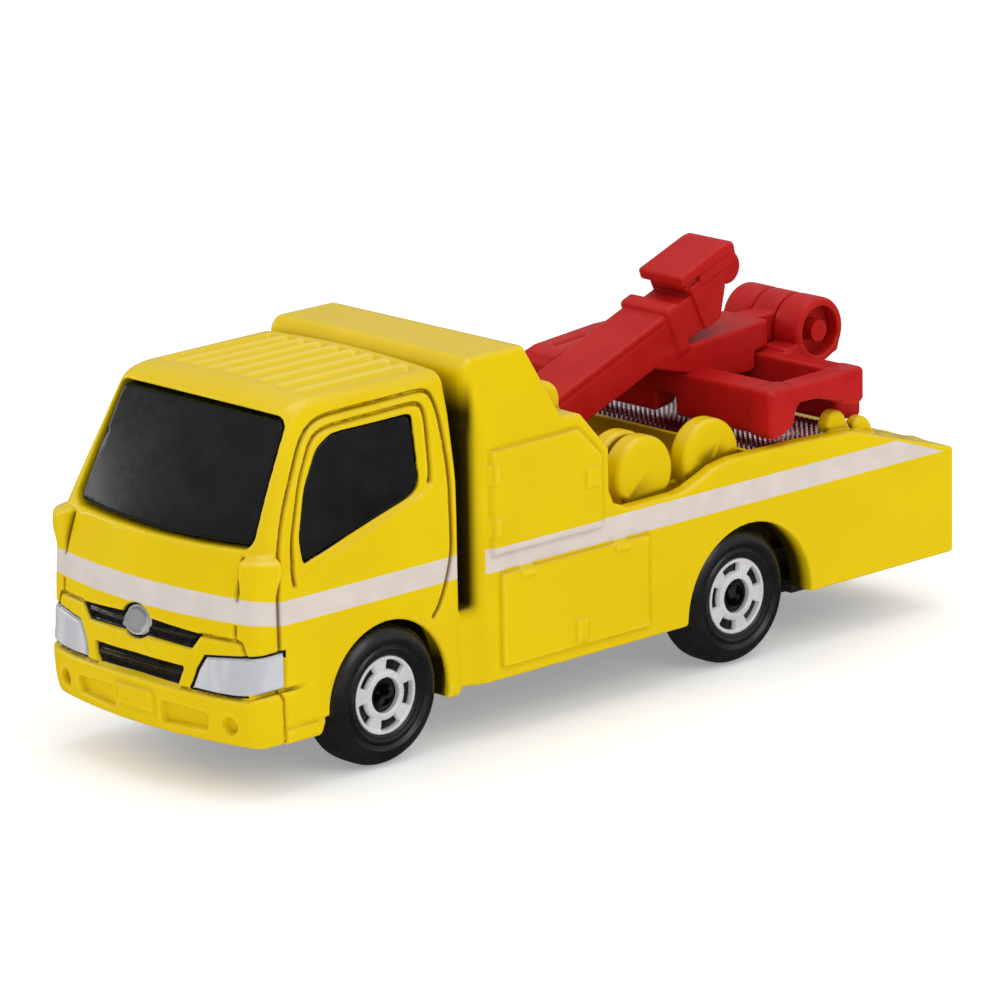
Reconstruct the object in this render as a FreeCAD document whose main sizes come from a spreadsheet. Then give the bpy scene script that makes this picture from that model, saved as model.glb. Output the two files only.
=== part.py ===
import FreeCAD, Part
import os

import Sketcher
from FreeCAD import Placement, Rotation, Vector

# Pocket-size die-cast tow truck.  Millimetres, +Z up, the nose points to -Y, +X is the
# vehicle's left side.  The origin is on the ground, in the middle of the outline.

# Endings: _half is half a width across X, _y and _z are places, _rad is a radius,
# _deg an angle, _thick a thickness.
DIMENSIONS = dict(
    # overall outline and casting walls
    len_half=36.88, bed_half=11.8, cab_half=11.17, skin=1.1, side_skin=1.3, end_skin=1.2,
    sill_z=4.36, cab_sill_z=4.0,
    # cab: nose below the belt line, greenhouse up to the eaves, low roof on top
    cab_rear_y=-15.05, belt_z=18.2, belt_front_y=-34.85, belt_half=11.0,
    eave_z=27.5, eave_front_y=-29.35, eave_half=9.35,
    roof_z=28.42, roof_front_y=-27.9, roof_half=8.7, roof_rear_y=-15.7, roof_rear_inset=0.3,
    nose_curve_rad=36.0, nose_corner_rad=1.0, green_curve_extra=9.0,
    # cab cavity: distance behind the outer front at three heights, and below the eaves
    nose_inset=3.2, belt_inset=1.9, eave_inset=1.5, eave_drop=0.3,
    # windscreen opening
    screen_top_z=27.05, screen_low_z=18.5, screen_top_half=8.85, screen_low_half=9.75,
    screen_low_depth=3.0, screen_top_depth=2.6,
    # window insert
    insert_gap=0.05, insert_rear_inset=1.2,
    # toolbox behind the cab
    box_front_y=-13.87, box_rear_y=-0.3, box_low_z=19.85, ledge_y=-3.24, ledge_z=23.0,
    step_y=-5.28, box_roof_z=28.73, box_roof_y=-7.6, box_roof_half=10.47,
    head_half=9.6, head_rear_y=-2.95, head_z=25.2, head_depth=4.0,
    box_cavity_drop=0.4, box_roof_thick=1.4, box_step_inset=2.2,
    # bed: side wall profile, well in front, raised deck behind it
    wall_thick=1.4, low_wall_z=14.86, hump_y0=8.1, hump_z0=15.06, hump_y1=12.9, hump_z1=16.45,
    peak_y=26.0, peak_z=16.3, tail_z=12.89, well_z=12.0, deck_y=15.6, deck_z=16.0,
    floor_thick=1.2, deck_thick=2.4, tail_thick=1.6, rim_z=16.4, root=0.5,
    # slot between cab and toolbox, and the sill under it
    slot_z=10.3, cab_bridge_y=-16.9,
    # wheels, hubs and axles
    front_axle_y=-22.26, rear_axle_y=13.94, axle_z=5.37, tyre_rad=5.37, tyre_out=11.19,
    tyre_width=3.6, tyre_edge=1.16, hub_rad=2.95, hub_hole_rad=1.33, hub_thick=0.55,
    hub_sink=0.3, hub_turn_front_deg=-25.6, hub_turn_rear_deg=12.0, tyre_hole_rad=1.05,
    axle_rad=0.55, bore_rad=0.6, axle_half=10.45, axle_head_extra=0.3,
    # wheel arches and the wheel wells inside them
    front_arch_y=-22.2, front_arch_z=5.16, front_arch_rad=5.85,
    rear_arch_y=14.6, rear_arch_z=4.46, rear_arch_rad=6.65,
    well_rad=6.25, well_lift=0.2, well_in=7.2, front_well_out=10.75, rear_well_out=11.2,
    # base plate and its rivets
    base_z=3.0, base_thick=1.0, channel_half=6.8, base_half=9.2, base_edge_z=4.7,
    base_rear_y=35.0, base_rim_z=6.6, base_rim_width=1.0, base_gap=0.1,
    front_rivet_y=-31.6, rear_rivet_y=30.5, rivet_rad=0.9, rivet_head_rad=1.7,
    rivet_lift=0.1, rivet_len=4.0, rivet_head_thick=0.44, post_rad=2.0, fit=0.005,
    # boom; its tilted frame starts at the lower end of the boom's top face, u runs up
    # along the boom and w stands square to it
    boom_y=4.02, boom_z=21.51, boom_deg=20.7, boom_half=2.35, boom_thick=3.35,
    boom_u0=-0.9, boom_u1=12.0, collar_u0=11.7, collar_u1=13.2, collar_half=2.65,
    stage_half=2.0, stage_u0=13.0, stage_u1=17.0, cheek_u0=15.5, cheek_u1=18.3,
    head_u0=14.7, head_u1=20.2, head_w=1.65, head_band=1.2,
    lobe_u=19.5, lobe_w=-0.25, lobe_rad=1.3,
    # boom pivot and the ears that carry it
    pivot_y=4.2, pivot_z=16.2, foot_rad=2.2, pivot_bore_rad=0.75, pivot_pin_rad=0.7,
    ear_in=2.5, ear_thick=1.0, ear_rad=1.7,
    # arm and the hinge at its rear end
    arm_half=2.4, knuckle_y=30.2, knuckle_z=22.15, knuckle_rad=2.62, knuckle_in=1.25,
    knuckle_gap=1.35, knuckle_out=4.15, hinge_pin_rad=0.85, hinge_bore_rad=0.9,
    # wheel-lift cradle
    cradle_half=11.6, cradle_open=9.3, cradle_y0=17.4, cradle_y1=27.3, front_bar_depth=2.45,
    rear_bar_y=25.0, cradle_low_z=17.2, cradle_front_z=20.4, cradle_rear_z=21.05,
    cradle_arch_z=19.35, rear_low_z=18.3, hinge_sink_rad=1.9, hinge_pin_inset=0.15,
    # winch housing on the right of the boom
    winch_in=2.75, winch_out=6.2, winch_y0=7.6, winch_y1=16.9, winch_z=23.4, winch_foot_y=10.3,
    # dolly wheels cast in the well
    dolly_front_y=5.0, dolly_rear_y=12.05, dolly_z=16.55, dolly_rad=2.9, dolly_out=10.3,
    dolly_width=1.9, dolly_in=8.05, dolly_in_width=1.75, dolly_block_half=2.2,
    # deck plate, and the lugs on the deck beside the walls
    plate_half=10.35, plate_y0=16.0, plate_y1=26.6, plate_z=16.28,
    lug_front_y=25.3, lug_front_z=16.75, lug_rear_y=28.1, lug_rear_z=15.75,
    lug_rad=1.0, lug_in=9.4, lug_out=10.6, notch_gap=0.1,
    # leaf springs
    leaf_thick=0.2, leaf_half=2.5, leaf_len=4.2, leaf_rise=1.6, leaf_lift=0.02,
)

SIDE_REACH = 15  # half width of a cutter that passes both sides of the truck


class Expr:
    """Text of a FreeCAD expression that can be added, subtracted, multiplied and negated."""

    def __init__(self, text):
        self.text = text

    def __str__(self):
        return self.text

    def __neg__(self):
        return Expr(f"(-{self})")

    def __add__(self, other):
        return Expr(f"({self} + ({other}))")

    def __sub__(self, other):
        return Expr(f"({self} - ({other}))")

    def __rsub__(self, other):
        return Expr(f"({other} - ({self}))")

    def __mul__(self, other):
        return Expr(f"({self} * ({other}))")

    # sums and products may start with a plain number
    __radd__ = __add__
    __rmul__ = __mul__


class Dims:
    """Each attribute is the expression of the spreadsheet cell with that alias."""


doc = FreeCAD.newDocument("tow_truck")
sheet = doc.addObject("Spreadsheet::Sheet", "dims")
sheet.Label = "dims"
dim = Dims()
for row, (alias, size) in enumerate(DIMENSIONS.items(), 1):
    sheet.set(f"A{row}", alias)
    sheet.set(f"B{row}", repr(float(size)))
    sheet.setAlias(f"B{row}", alias)
    setattr(dim, alias, Expr(f"dims.{alias}"))
doc.recompute()

AXLES = (("front", dim.front_axle_y), ("rear", dim.rear_axle_y))
RIVETS = (("front", dim.front_rivet_y), ("rear", dim.rear_rivet_y))


# ----------------------------------------------------------------------------------
# helpers
# ----------------------------------------------------------------------------------
def number(value):
    """Present value of an expression or a plain number."""
    return float(sheet.evalExpression(str(value)) if isinstance(value, Expr) else value)


def bind(obj, prop, value):
    obj.setExpression(prop, str(value))


def put(obj, x, y, z):
    bind(obj, "Placement.Base.x", x)
    bind(obj, "Placement.Base.y", y)
    bind(obj, "Placement.Base.z", z)


def span(half, middle=0):
    return middle - half, middle + half


def sides(inner, outer):
    """The X range from inner to outer on the left side, and its mirror on the right."""
    return ("left", (inner, outer)), ("right", (-outer, -inner))


def box(name, xs, ys, zs):
    block = doc.addObject("Part::Box", name)
    for prop, (start, end) in (("Length", xs), ("Width", ys), ("Height", zs)):
        bind(block, prop, end - start)
    put(block, xs[0], ys[0], zs[0])
    return block


def rod(name, rad, xs, y, z):
    """Cylinder along X."""
    bar = doc.addObject("Part::Cylinder", name)
    bar.Placement = Placement(Vector(), Rotation(Vector(0, 1, 0), 90))
    bind(bar, "Radius", rad)
    bind(bar, "Height", xs[1] - xs[0])
    put(bar, xs[0], y, z)
    return bar


def pillar(name, rad, height, y, z):
    """Upright cylinder on the centre line."""
    post = doc.addObject("Part::Cylinder", name)
    bind(post, "Radius", rad)
    bind(post, "Height", height)
    put(post, 0, y, z)
    return post


def frustum(name, z_low, z_high, low, high):
    """Block between two rectangles (half width, y0, y1), one at each height."""
    wedge = doc.addObject("Part::Wedge", name)
    wedge.Placement = Placement(Vector(), Rotation(Vector(1, 0, 0), 90))  # height to +Z
    bind(wedge, "Ymin", z_low)
    bind(wedge, "Ymax", z_high)
    for prefix, (half, y0, y1) in (("", low), ("2", high)):
        bind(wedge, f"X{prefix}min", -half)
        bind(wedge, f"X{prefix}max", half)
        bind(wedge, f"Z{prefix}min", -y1)
        bind(wedge, f"Z{prefix}max", -y0)
    return wedge


def fuse(name, items):
    union = doc.addObject("Part::MultiFuse", name)
    union.Shapes = items
    return union


def cut(name, base, tools):
    result = doc.addObject("Part::Cut", name)
    result.Base = base
    result.Tool = tools[0] if len(tools) == 1 else fuse(name + "_tools", tools)
    return result


def common(name, base, tool):
    result = doc.addObject("Part::Common", name)
    result.Base = base
    result.Tool = tool
    return result


def polygon_sketch(body, name, role, points):
    """Closed outline; every corner is held by two dimensions from the sketch origin."""
    sketch = body.newObject("Sketcher::SketchObject", name)
    plane = [f for f in body.Origin.OriginFeatures if f.Role == role][0]
    sketch.AttachmentSupport = (plane, [""])
    sketch.MapMode = "FlatFace"
    corners = [Vector(number(x), number(y), 0) for x, y in points]
    count = len(corners)
    for i in range(count):
        sketch.addGeometry(Part.LineSegment(corners[i], corners[(i + 1) % count]), False)
    for i in range(count):
        sketch.addConstraint(Sketcher.Constraint("Coincident", i, 2, (i + 1) % count, 1))
    for i, point in enumerate(points):
        for kind, value in zip(("DistanceX", "DistanceY"), point):
            index = sketch.addConstraint(
                Sketcher.Constraint(kind, -1, 1, i, 1, number(value)))
            if isinstance(value, Expr):
                bind(sketch, f"Constraints[{index}]", value)
    return sketch


def slab(name, points, width, start=None):
    """Side outline (y, z) padded across X: from start towards +X, or else about x = 0."""
    body = doc.addObject("PartDesign::Body", name)
    sketch = polygon_sketch(body, name + "_outline", "YZ_Plane", points)
    if start is not None:
        bind(sketch, "AttachmentOffset.Base.z", start)
    pad = body.newObject("PartDesign::Pad", name + "_pad")
    pad.Profile = sketch
    pad.Midplane = start is None
    bind(pad, "Length", width)
    body.Tip = pad
    return body


def revolve(body, name, sketch):
    """Full turn about the horizontal axis of the sketch."""
    turned = body.newObject("PartDesign::Revolution", name)
    turned.Profile = sketch
    turned.ReferenceAxis = (sketch, ["H_Axis"])
    turned.Angle = 360
    body.Tip = turned
    return turned


# ----------------------------------------------------------------------------------
# body casting: cab, toolbox and bed in one piece, hollow from below
# ----------------------------------------------------------------------------------
SIDE_WINDOW = [(-28.1, 25.6), (-30.4, 19.5), (-30.3, 17.1), (-19.2, 20.6), (-19.9, 25.85)]  # y, z
ABOVE_BED_Z = 30   # top of the cutters that open the bed from above


def rounded_nose():
    """Cab below the belt line, with its two upright front edges rounded."""
    nose = frustum("nose_block", dim.cab_sill_z, dim.belt_z,
                   (dim.cab_half, -dim.len_half, dim.cab_rear_y),
                   (dim.belt_half, dim.belt_front_y, dim.cab_rear_y))
    doc.recompute()
    min_rise = 5
    front_limit_y = -30
    edges = []
    for index, edge in enumerate(nose.Shape.Edges, 1):
        start, end = (vertex.Point for vertex in edge.Vertexes)
        if abs(start.z - end.z) > min_rise and max(start.y, end.y) < front_limit_y:
            edges.append(index)
    rounded = doc.addObject("Part::Fillet", "nose_round")
    rounded.Base = nose
    rad = number(dim.nose_corner_rad)
    rounded.Edges = [(index, rad, rad) for index in edges]
    return rounded


def cabin_room(name, gap, rear_inset):
    """Cavity of the cab in two storeys, shrunk by a gap at the front, sides and top."""
    inset = dim.skin + gap
    belt = (dim.belt_half - inset, dim.belt_front_y + dim.belt_inset + gap,
            dim.cab_rear_y - rear_inset)
    return [
        frustum(name + "_low", 0, dim.belt_z,
                (dim.cab_half - inset, dim.nose_inset + gap - dim.len_half,
                 dim.cab_rear_y - rear_inset),
                belt),
        frustum(name + "_up", dim.belt_z, dim.eave_z - dim.eave_drop - gap, belt,
                (dim.eave_half - inset, dim.eave_front_y + dim.eave_inset + gap,
                 dim.roof_rear_y - rear_inset)),
    ]


def cab():
    curve_height = 60
    nose_curve = pillar("nose_curve_tool", dim.nose_curve_rad, curve_height,
                        dim.nose_curve_rad - dim.len_half, 0)
    low = common("cab_low", rounded_nose(), nose_curve)

    eaves = (dim.eave_half, dim.eave_front_y, dim.roof_rear_y)
    green = frustum("greenhouse", dim.belt_z, dim.eave_z,
                    (dim.belt_half, dim.belt_front_y, dim.cab_rear_y), eaves)
    green_rad = dim.nose_curve_rad + dim.green_curve_extra
    green_curve = pillar("green_curve_tool", green_rad, curve_height,
                         dim.belt_front_y + green_rad, 0)
    green = common("greenhouse_curved", green, green_curve)
    roof = frustum("cab_roof", dim.eave_z, dim.roof_z, eaves,
                   (dim.roof_half, dim.roof_front_y, dim.roof_rear_y - dim.roof_rear_inset))
    outer = fuse("cab_outer", [low, green, roof])

    # the windscreen cutter starts well ahead of the cab at both heights
    windscreen = frustum(
        "windscreen_opening", dim.screen_low_z, dim.screen_top_z,
        (dim.screen_low_half, -40, dim.belt_front_y + dim.screen_low_depth),
        (dim.screen_top_half, -36, dim.eave_front_y + dim.screen_top_depth))
    side_window = slab("side_window_opening", SIDE_WINDOW, 2 * SIDE_REACH)
    return cut("cab_shell", outer,
               cabin_room("cab_in", 0, dim.skin) + [windscreen, side_window])


def toolbox():
    xs = span(dim.bed_half)
    front = dim.box_front_y
    return fuse("toolbox", [
        box("toolbox_low", xs, (front, dim.box_rear_y), (dim.sill_z, dim.box_low_z)),
        frustum("toolbox_mid", dim.box_low_z, dim.ledge_z,
                (dim.bed_half, front, dim.box_rear_y), (dim.bed_half, front, dim.ledge_y)),
        frustum("toolbox_top", dim.ledge_z, dim.box_roof_z,
                (dim.bed_half, front, dim.step_y), (dim.box_roof_half, front, dim.box_roof_y)),
        box("toolbox_head", span(dim.head_half),
            (dim.head_rear_y - dim.head_depth, dim.head_rear_y), (dim.ledge_z - 1, dim.head_z)),
    ])


def toolbox_cavity():
    half = dim.bed_half - dim.side_skin
    front = dim.box_front_y + dim.end_skin
    middle_z = dim.box_low_z - dim.box_cavity_drop
    return fuse("toolbox_in", [
        box("toolbox_in_low", span(half), (front, dim.box_rear_y - dim.end_skin), (0, middle_z)),
        frustum("toolbox_in_top", middle_z, dim.box_roof_z - dim.box_roof_thick,
                (half, front, dim.step_y - dim.box_step_inset),
                (dim.box_roof_half - dim.side_skin, front, dim.box_roof_y - dim.box_roof_thick)),
    ])


def bed():
    front = dim.box_rear_y - 1  # runs into the toolbox
    return slab("bed_profile", [
        (front, dim.sill_z), (dim.len_half, dim.sill_z), (dim.len_half, dim.tail_z),
        (dim.peak_y, dim.peak_z), (dim.hump_y1, dim.hump_z1), (dim.hump_y0, dim.hump_z0),
        (dim.hump_y0 - 1.2, dim.low_wall_z), (front, dim.low_wall_z)], 2 * dim.bed_half)


def bed_cavity():
    """Three overlapping hollows under the well, the deck and the tail."""
    xs = span(dim.bed_half - dim.side_skin)
    return fuse("bed_in", [
        box("bed_in_front", xs, (dim.box_rear_y - 3, dim.deck_y + 1),
            (0, dim.well_z - dim.floor_thick)),
        box("bed_in_mid", xs, (dim.deck_y + 0.9, dim.len_half - 6),
            (0, dim.deck_z - dim.deck_thick)),
        box("bed_in_rear", xs, (dim.len_half - 7, dim.len_half - dim.side_skin),
            (0, dim.tail_z - dim.tail_thick)),
    ])


def truck_shell():
    """Toolbox, bed and the sill towards the cab, hollowed from below and above."""
    sill = box("cab_sill", span(dim.cab_half), (dim.cab_bridge_y, dim.box_front_y + 1),
               (dim.sill_z, dim.slot_z))
    inside = span(dim.bed_half - dim.wall_thick)
    well = box("well_cut", inside, (dim.box_rear_y, dim.deck_y), (dim.well_z, ABOVE_BED_Z))
    deck = box("deck_cut", inside, (dim.deck_y - 0.1, dim.peak_y + 0.9),
               (dim.deck_z, ABOVE_BED_Z))
    return cut("shell_hollow", fuse("shell_outer", [toolbox(), bed(), sill]),
               [toolbox_cavity(), bed_cavity(), well, deck])


def dollies():
    """Wheels on blocks in the well: two outer ones a side, one inner one at the front."""
    outer = [(f"{place}_{side}", xs, y)
             for place, y in ((1, dim.dolly_front_y), (2, dim.dolly_rear_y))
             for side, xs in sides(dim.dolly_out - dim.dolly_width, dim.dolly_out)]
    inner = [("inner_" + side, xs, dim.dolly_front_y)
             for side, xs in sides(dim.dolly_in - dim.dolly_in_width, dim.dolly_in)]
    items = []
    for group in (outer, inner):
        for tag, xs, y in group:
            items.append(rod("dolly_" + tag, dim.dolly_rad, xs, y, dim.dolly_z))
        for tag, xs, y in group:
            items.append(box("dolly_block_" + tag, xs, span(dim.dolly_block_half, y),
                             (dim.well_z - dim.root, dim.dolly_z)))
    return fuse("dollies", items)


def deck_rim():
    """Raised rim along the front edge of the deck."""
    return box("deck_rim", span(dim.bed_half - dim.wall_thick + 0.1),
               (dim.deck_y, dim.plate_y0 - 0.03), (dim.deck_z - dim.root, dim.rim_z))


def boom_ears():
    ears = []
    for side, xs in sides(dim.ear_in, dim.ear_in + dim.ear_thick):
        ears.append(box("ear_block_" + side, xs, span(dim.ear_rad, dim.pivot_y),
                        (dim.well_z - dim.root, dim.pivot_z)))
        ears.append(rod("ear_round_" + side, dim.ear_rad, xs, dim.pivot_y, dim.pivot_z))
    return ears


def deck_lugs():
    places = ((1, dim.lug_front_y, dim.lug_front_z), (2, dim.lug_rear_y, dim.lug_rear_z))
    return [rod(f"lug_{side}_{k}", dim.lug_rad, xs, y, z)
            for side, xs in sides(dim.lug_in, dim.lug_out) for k, y, z in places]


def rivet_posts():
    """Two posts over the rivets, and a cross wall through the top of the front one."""
    posts = [pillar("post_" + place, dim.post_rad, top - dim.base_edge_z, y, dim.base_edge_z)
             for (place, y), top in zip(RIVETS, (12.0, 12.6))]
    return posts + [box("post_bridge", span(dim.cab_half - 0.5),
                        span(0.9, dim.front_rivet_y), (11.2, 12.4))]


def casting_openings():
    """Wheel arches, pin and rivet holes, room for the base plate, and the cab slot."""
    tools = [
        rod("arch_front", dim.front_arch_rad, span(SIDE_REACH),
            dim.front_arch_y, dim.front_arch_z),
        box("arch_front_low", span(SIDE_REACH),
            (dim.front_arch_y - 5.75, dim.front_arch_y + 5.55), (0, dim.front_arch_z)),
        rod("arch_rear", dim.rear_arch_rad, span(SIDE_REACH), dim.rear_arch_y, dim.rear_arch_z),
    ]
    for (place, y), outer in zip(AXLES, (dim.front_well_out, dim.rear_well_out)):
        for side, xs in sides(dim.well_in, outer):
            tools.append(rod(f"wheel_well_{place}_{side}", dim.well_rad, xs, y,
                             dim.axle_z + dim.well_lift))
    tools.append(rod("boom_pin_hole", dim.pivot_pin_rad + dim.fit, span(4),
                     dim.pivot_y, dim.pivot_z))
    for place, y in RIVETS:
        rad = dim.rivet_rad + dim.fit
        tools.append(pillar("rivet_hole_" + place, rad, 4.3, y, 0))
        tools.append(pillar("rivet_blind_" + place, rad, 3, y, dim.base_edge_z))
    room_ys = (-17.5, dim.box_front_y + 1.5)
    tools += [
        box("base_room_channel", span(dim.channel_half + dim.base_gap), room_ys, (0, 6.8)),
        box("base_room_wing", span(dim.base_half + dim.base_gap), room_ys,
            (0, dim.base_edge_z + 0.15)),
        box("slot", span(13), (dim.cab_rear_y, dim.box_front_y), (dim.slot_z, 40)),
    ]
    return tools


def body_casting():
    raw = fuse("casting_raw", [truck_shell(), cab(), dollies(), deck_rim()]
               + boom_ears() + deck_lugs() + rivet_posts())
    return cut("body_casting", raw, casting_openings())


# ----------------------------------------------------------------------------------
# window insert: one moulding, windscreen and both side windows
# ----------------------------------------------------------------------------------
def window_insert():
    outer = frustum(
        "insert_outer", dim.belt_z - 1.9, dim.eave_z - dim.eave_drop - dim.insert_gap,
        (dim.belt_half - 1.27, dim.belt_front_y + 1.75, dim.cab_rear_y - 3),
        (dim.eave_half - 1.17, dim.eave_front_y + 1.57, dim.roof_rear_y - 3))
    # the hollow is open below and behind
    inner = frustum(
        "insert_inner", dim.belt_z - 3, dim.eave_z - 1.4,
        (dim.belt_half - 2.3, dim.belt_front_y + 3.0, dim.cab_rear_y + 1),
        (dim.eave_half - 2.2, dim.eave_front_y + 2.9, dim.cab_rear_y + 1))
    room = fuse("insert_room",
                cabin_room("insert_room", dim.insert_gap, dim.insert_rear_inset))
    return common("insert_fit", cut("insert_shell", outer, [inner]), room)


# ----------------------------------------------------------------------------------
# base plate with axle slots, and its rivets
# ----------------------------------------------------------------------------------
def base_plate():
    floor_top = dim.base_z + dim.base_thick
    wing_zs = (dim.base_edge_z - dim.base_thick, dim.base_edge_z)
    boss_height = dim.base_edge_z - dim.base_z
    items = [box("base_floor", span(dim.channel_half), (-32.4, dim.base_rear_y),
                 (dim.base_z, floor_top))]
    for side, xs in sides(dim.channel_half - dim.base_rim_width, dim.channel_half):
        items.append(box("base_rim_" + side, xs, (-28.6, 33.0), (dim.base_z, dim.base_rim_z)))
    # name, half width, front and rear y
    for name, half, *ys in (("mid", dim.base_half, -15.4, 7.2),
                            ("rear", dim.base_half, 21.6, dim.base_rear_y),
                            ("front", 7.6, -33.2, -29.4)):
        items.append(box("base_wing_" + name, span(half), ys, wing_zs))
    for (place, y), rad in zip(RIVETS, (2.1, 3.0)):
        items.append(pillar("base_boss_" + place, rad, boss_height, y, dim.base_z))

    tools = []
    for place, y in AXLES:
        tools.append(box("axle_slot_" + place, span(12), span(dim.axle_rad + 0.05, y),
                         (dim.axle_z - dim.axle_rad, 12)))
        tools.append(box("leaf_room_" + place, span(3.2), span(5, y), (floor_top, 12)))
    for place, y in RIVETS:
        tools.append(pillar("base_rivet_" + place, dim.rivet_rad + dim.fit, 20, y, 0))
        tools.append(pillar("base_sink_" + place, dim.rivet_head_rad + 0.15, 0.55, y,
                            dim.base_z - 0.01))
    # the front boss is flattened where it meets the nose of the casting
    tools.append(box("boss_flat", span(4), (-36, -33.3), (floor_top, 8)))
    return cut("base_plate", fuse("base_raw", items), tools)


def rivets():
    pair = doc.addObject("Part::Compound", "rivets")
    low_z = dim.base_z + dim.rivet_lift
    pair.Links = [
        fuse("rivet_" + place, [
            pillar("rivet_shank_" + place, dim.rivet_rad, dim.rivet_len, y, low_z),
            pillar("rivet_cap_" + place, dim.rivet_head_rad, dim.rivet_head_thick, y, low_z)])
        for place, y in RIVETS]
    return pair


# ----------------------------------------------------------------------------------
# axles, leaf springs, wheels and hubs
# ----------------------------------------------------------------------------------
def axle(place, y):
    name = place + "_axle"
    items = [rod(name + "_wire", dim.axle_rad, span(dim.axle_half), y, dim.axle_z)]
    for side, xs in sides(dim.axle_half - 0.1, dim.axle_half + 0.25):
        items.append(rod(f"{name}_head_{side}", dim.axle_rad + dim.axle_head_extra,
                         xs, y, dim.axle_z))
    return fuse(name, items)


def spring(place, y):
    """Bowed leaf over the axle: its ends stand higher than its middle."""
    middle = dim.axle_z + dim.axle_rad + dim.leaf_lift
    end = dim.axle_z + dim.axle_rad + dim.leaf_rise
    front, rear = span(dim.leaf_len, y)
    return slab(place + "_spring", [
        (front, end), (y - 0.8, middle), (y + 0.8, middle), (rear, end),
        (rear, end + dim.leaf_thick), (y + 0.75, middle + dim.leaf_thick),
        (y - 0.75, middle + dim.leaf_thick), (front, end + dim.leaf_thick)],
        2 * dim.leaf_half)


def tyre(place, side, y):
    """Moulded wheel: tread, stepped sidewall, dished face and web, turned about its axle."""
    tag = f"{place}_{side}"
    body = doc.addObject("PartDesign::Body", "tyre_" + tag)
    face, rad, edge = dim.tyre_out, dim.tyre_rad, dim.tyre_edge
    seat = face - dim.hub_sink - dim.hub_thick
    back = face - dim.tyre_width
    # distance along the axle, radius
    sketch = polygon_sketch(body, "tyre_profile_" + tag, "XY_Plane", [
        (face - 1.0, dim.bore_rad), (face - 1.0, dim.tyre_hole_rad),
        (seat, dim.tyre_hole_rad), (seat, dim.hub_rad),
        (face - 0.12, dim.hub_rad + 0.02), (face, dim.hub_rad + 0.25),
        (face, rad - edge), (face - 0.34 * edge, rad - 0.25 * edge),
        (face - edge, rad), (back + 0.5, rad),
        (back, rad - 0.5), (back, rad - 1.3),
        (back + 1.3, rad - 1.5), (back + 1.3, 1.5),
        (back, 1.5), (back, dim.bore_rad)])
    revolve(body, "tyre_turn_" + tag, sketch)
    if side == "right":
        body.Placement = Placement(Vector(), Rotation(Vector(0, 0, 1), 180))
    put(body, 0, y, dim.axle_z)
    return body


# one hub slot: x, and distance from the axle as a share of the hub radius
HUB_SLOT = ((-0.66, 0.64), (-0.93, 0.83), (-0.5, 0.875), (0, 0.89),
            (0.5, 0.875), (0.93, 0.83), (0.66, 0.64), (0, 0.67))


def hub(place, side, y):
    """Hub face: a disc with five slots round a centre hole."""
    tag = f"{place}_{side}"
    body = doc.addObject("PartDesign::Body", "hub_" + tag)
    face = dim.tyre_out - dim.hub_sink
    back = face - dim.hub_thick + dim.fit
    rim = dim.hub_rad - 0.01
    profile = polygon_sketch(body, "hub_profile_" + tag, "XY_Plane", [
        (back, dim.hub_hole_rad), (back, rim), (face, rim), (face, dim.hub_hole_rad)])
    disc = revolve(body, "hub_turn_" + tag, profile)
    doc.recompute()
    full_volume = disc.Shape.Volume

    slot = polygon_sketch(body, "hub_slot_" + tag, "YZ_Plane",
                          [(x, share * dim.hub_rad) for x, share in HUB_SLOT])
    pocket = body.newObject("PartDesign::Pocket", "hub_slot_cut_" + tag)
    pocket.Profile = slot
    pocket.Midplane = True
    bind(pocket, "Length", 2 * SIDE_REACH)
    pattern = body.newObject("PartDesign::PolarPattern", "hub_slots_" + tag)
    pattern.Originals = [pocket]
    pattern.Axis = (slot, ["N_Axis"])
    pattern.Angle = 360
    pattern.Occurrences = 5
    body.Tip = pattern
    doc.recompute()
    if not body.Shape.Volume < full_volume * 0.95:
        raise RuntimeError("hub slots cut nothing on " + tag)

    turn_deg = {"front": dim.hub_turn_front_deg, "rear": dim.hub_turn_rear_deg}[place]
    turn = Rotation(Vector(1, 0, 0), number(turn_deg))
    if side == "right":
        turn = Rotation(Vector(0, 0, 1), 180) * turn
    body.Placement = Placement(Vector(), turn)
    put(body, 0, y, dim.axle_z)
    return body


# ----------------------------------------------------------------------------------
# boom and lift arm: one moulding on a cross pin
# ----------------------------------------------------------------------------------
# y, z
ARM_OUTLINE = [(14.2, 22.0), (19.9, 20.75), (21.0, 20.35), (26.2, 21.2),
               (26.2, 23.6), (17.6, 22.96), (14.2, 22.9)]


def along(u, w):
    """(y, z) of a point in the boom's tilted frame."""
    cosine = Expr(f"cos({dim.boom_deg} * 1deg)")
    sine = Expr(f"sin({dim.boom_deg} * 1deg)")
    return dim.boom_y + u * cosine - w * sine, dim.boom_z + u * sine + w * cosine


def lean_box(name, half, u0, u1, w0, w1):
    block = doc.addObject("Part::Box", name)
    block.Placement = Placement(Vector(), Rotation(Vector(1, 0, 0), number(dim.boom_deg)))
    bind(block, "Length", 2 * half)
    bind(block, "Width", u1 - u0)
    bind(block, "Height", w1 - w0)
    put(block, -half, *along(u0, w0))
    return block


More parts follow.
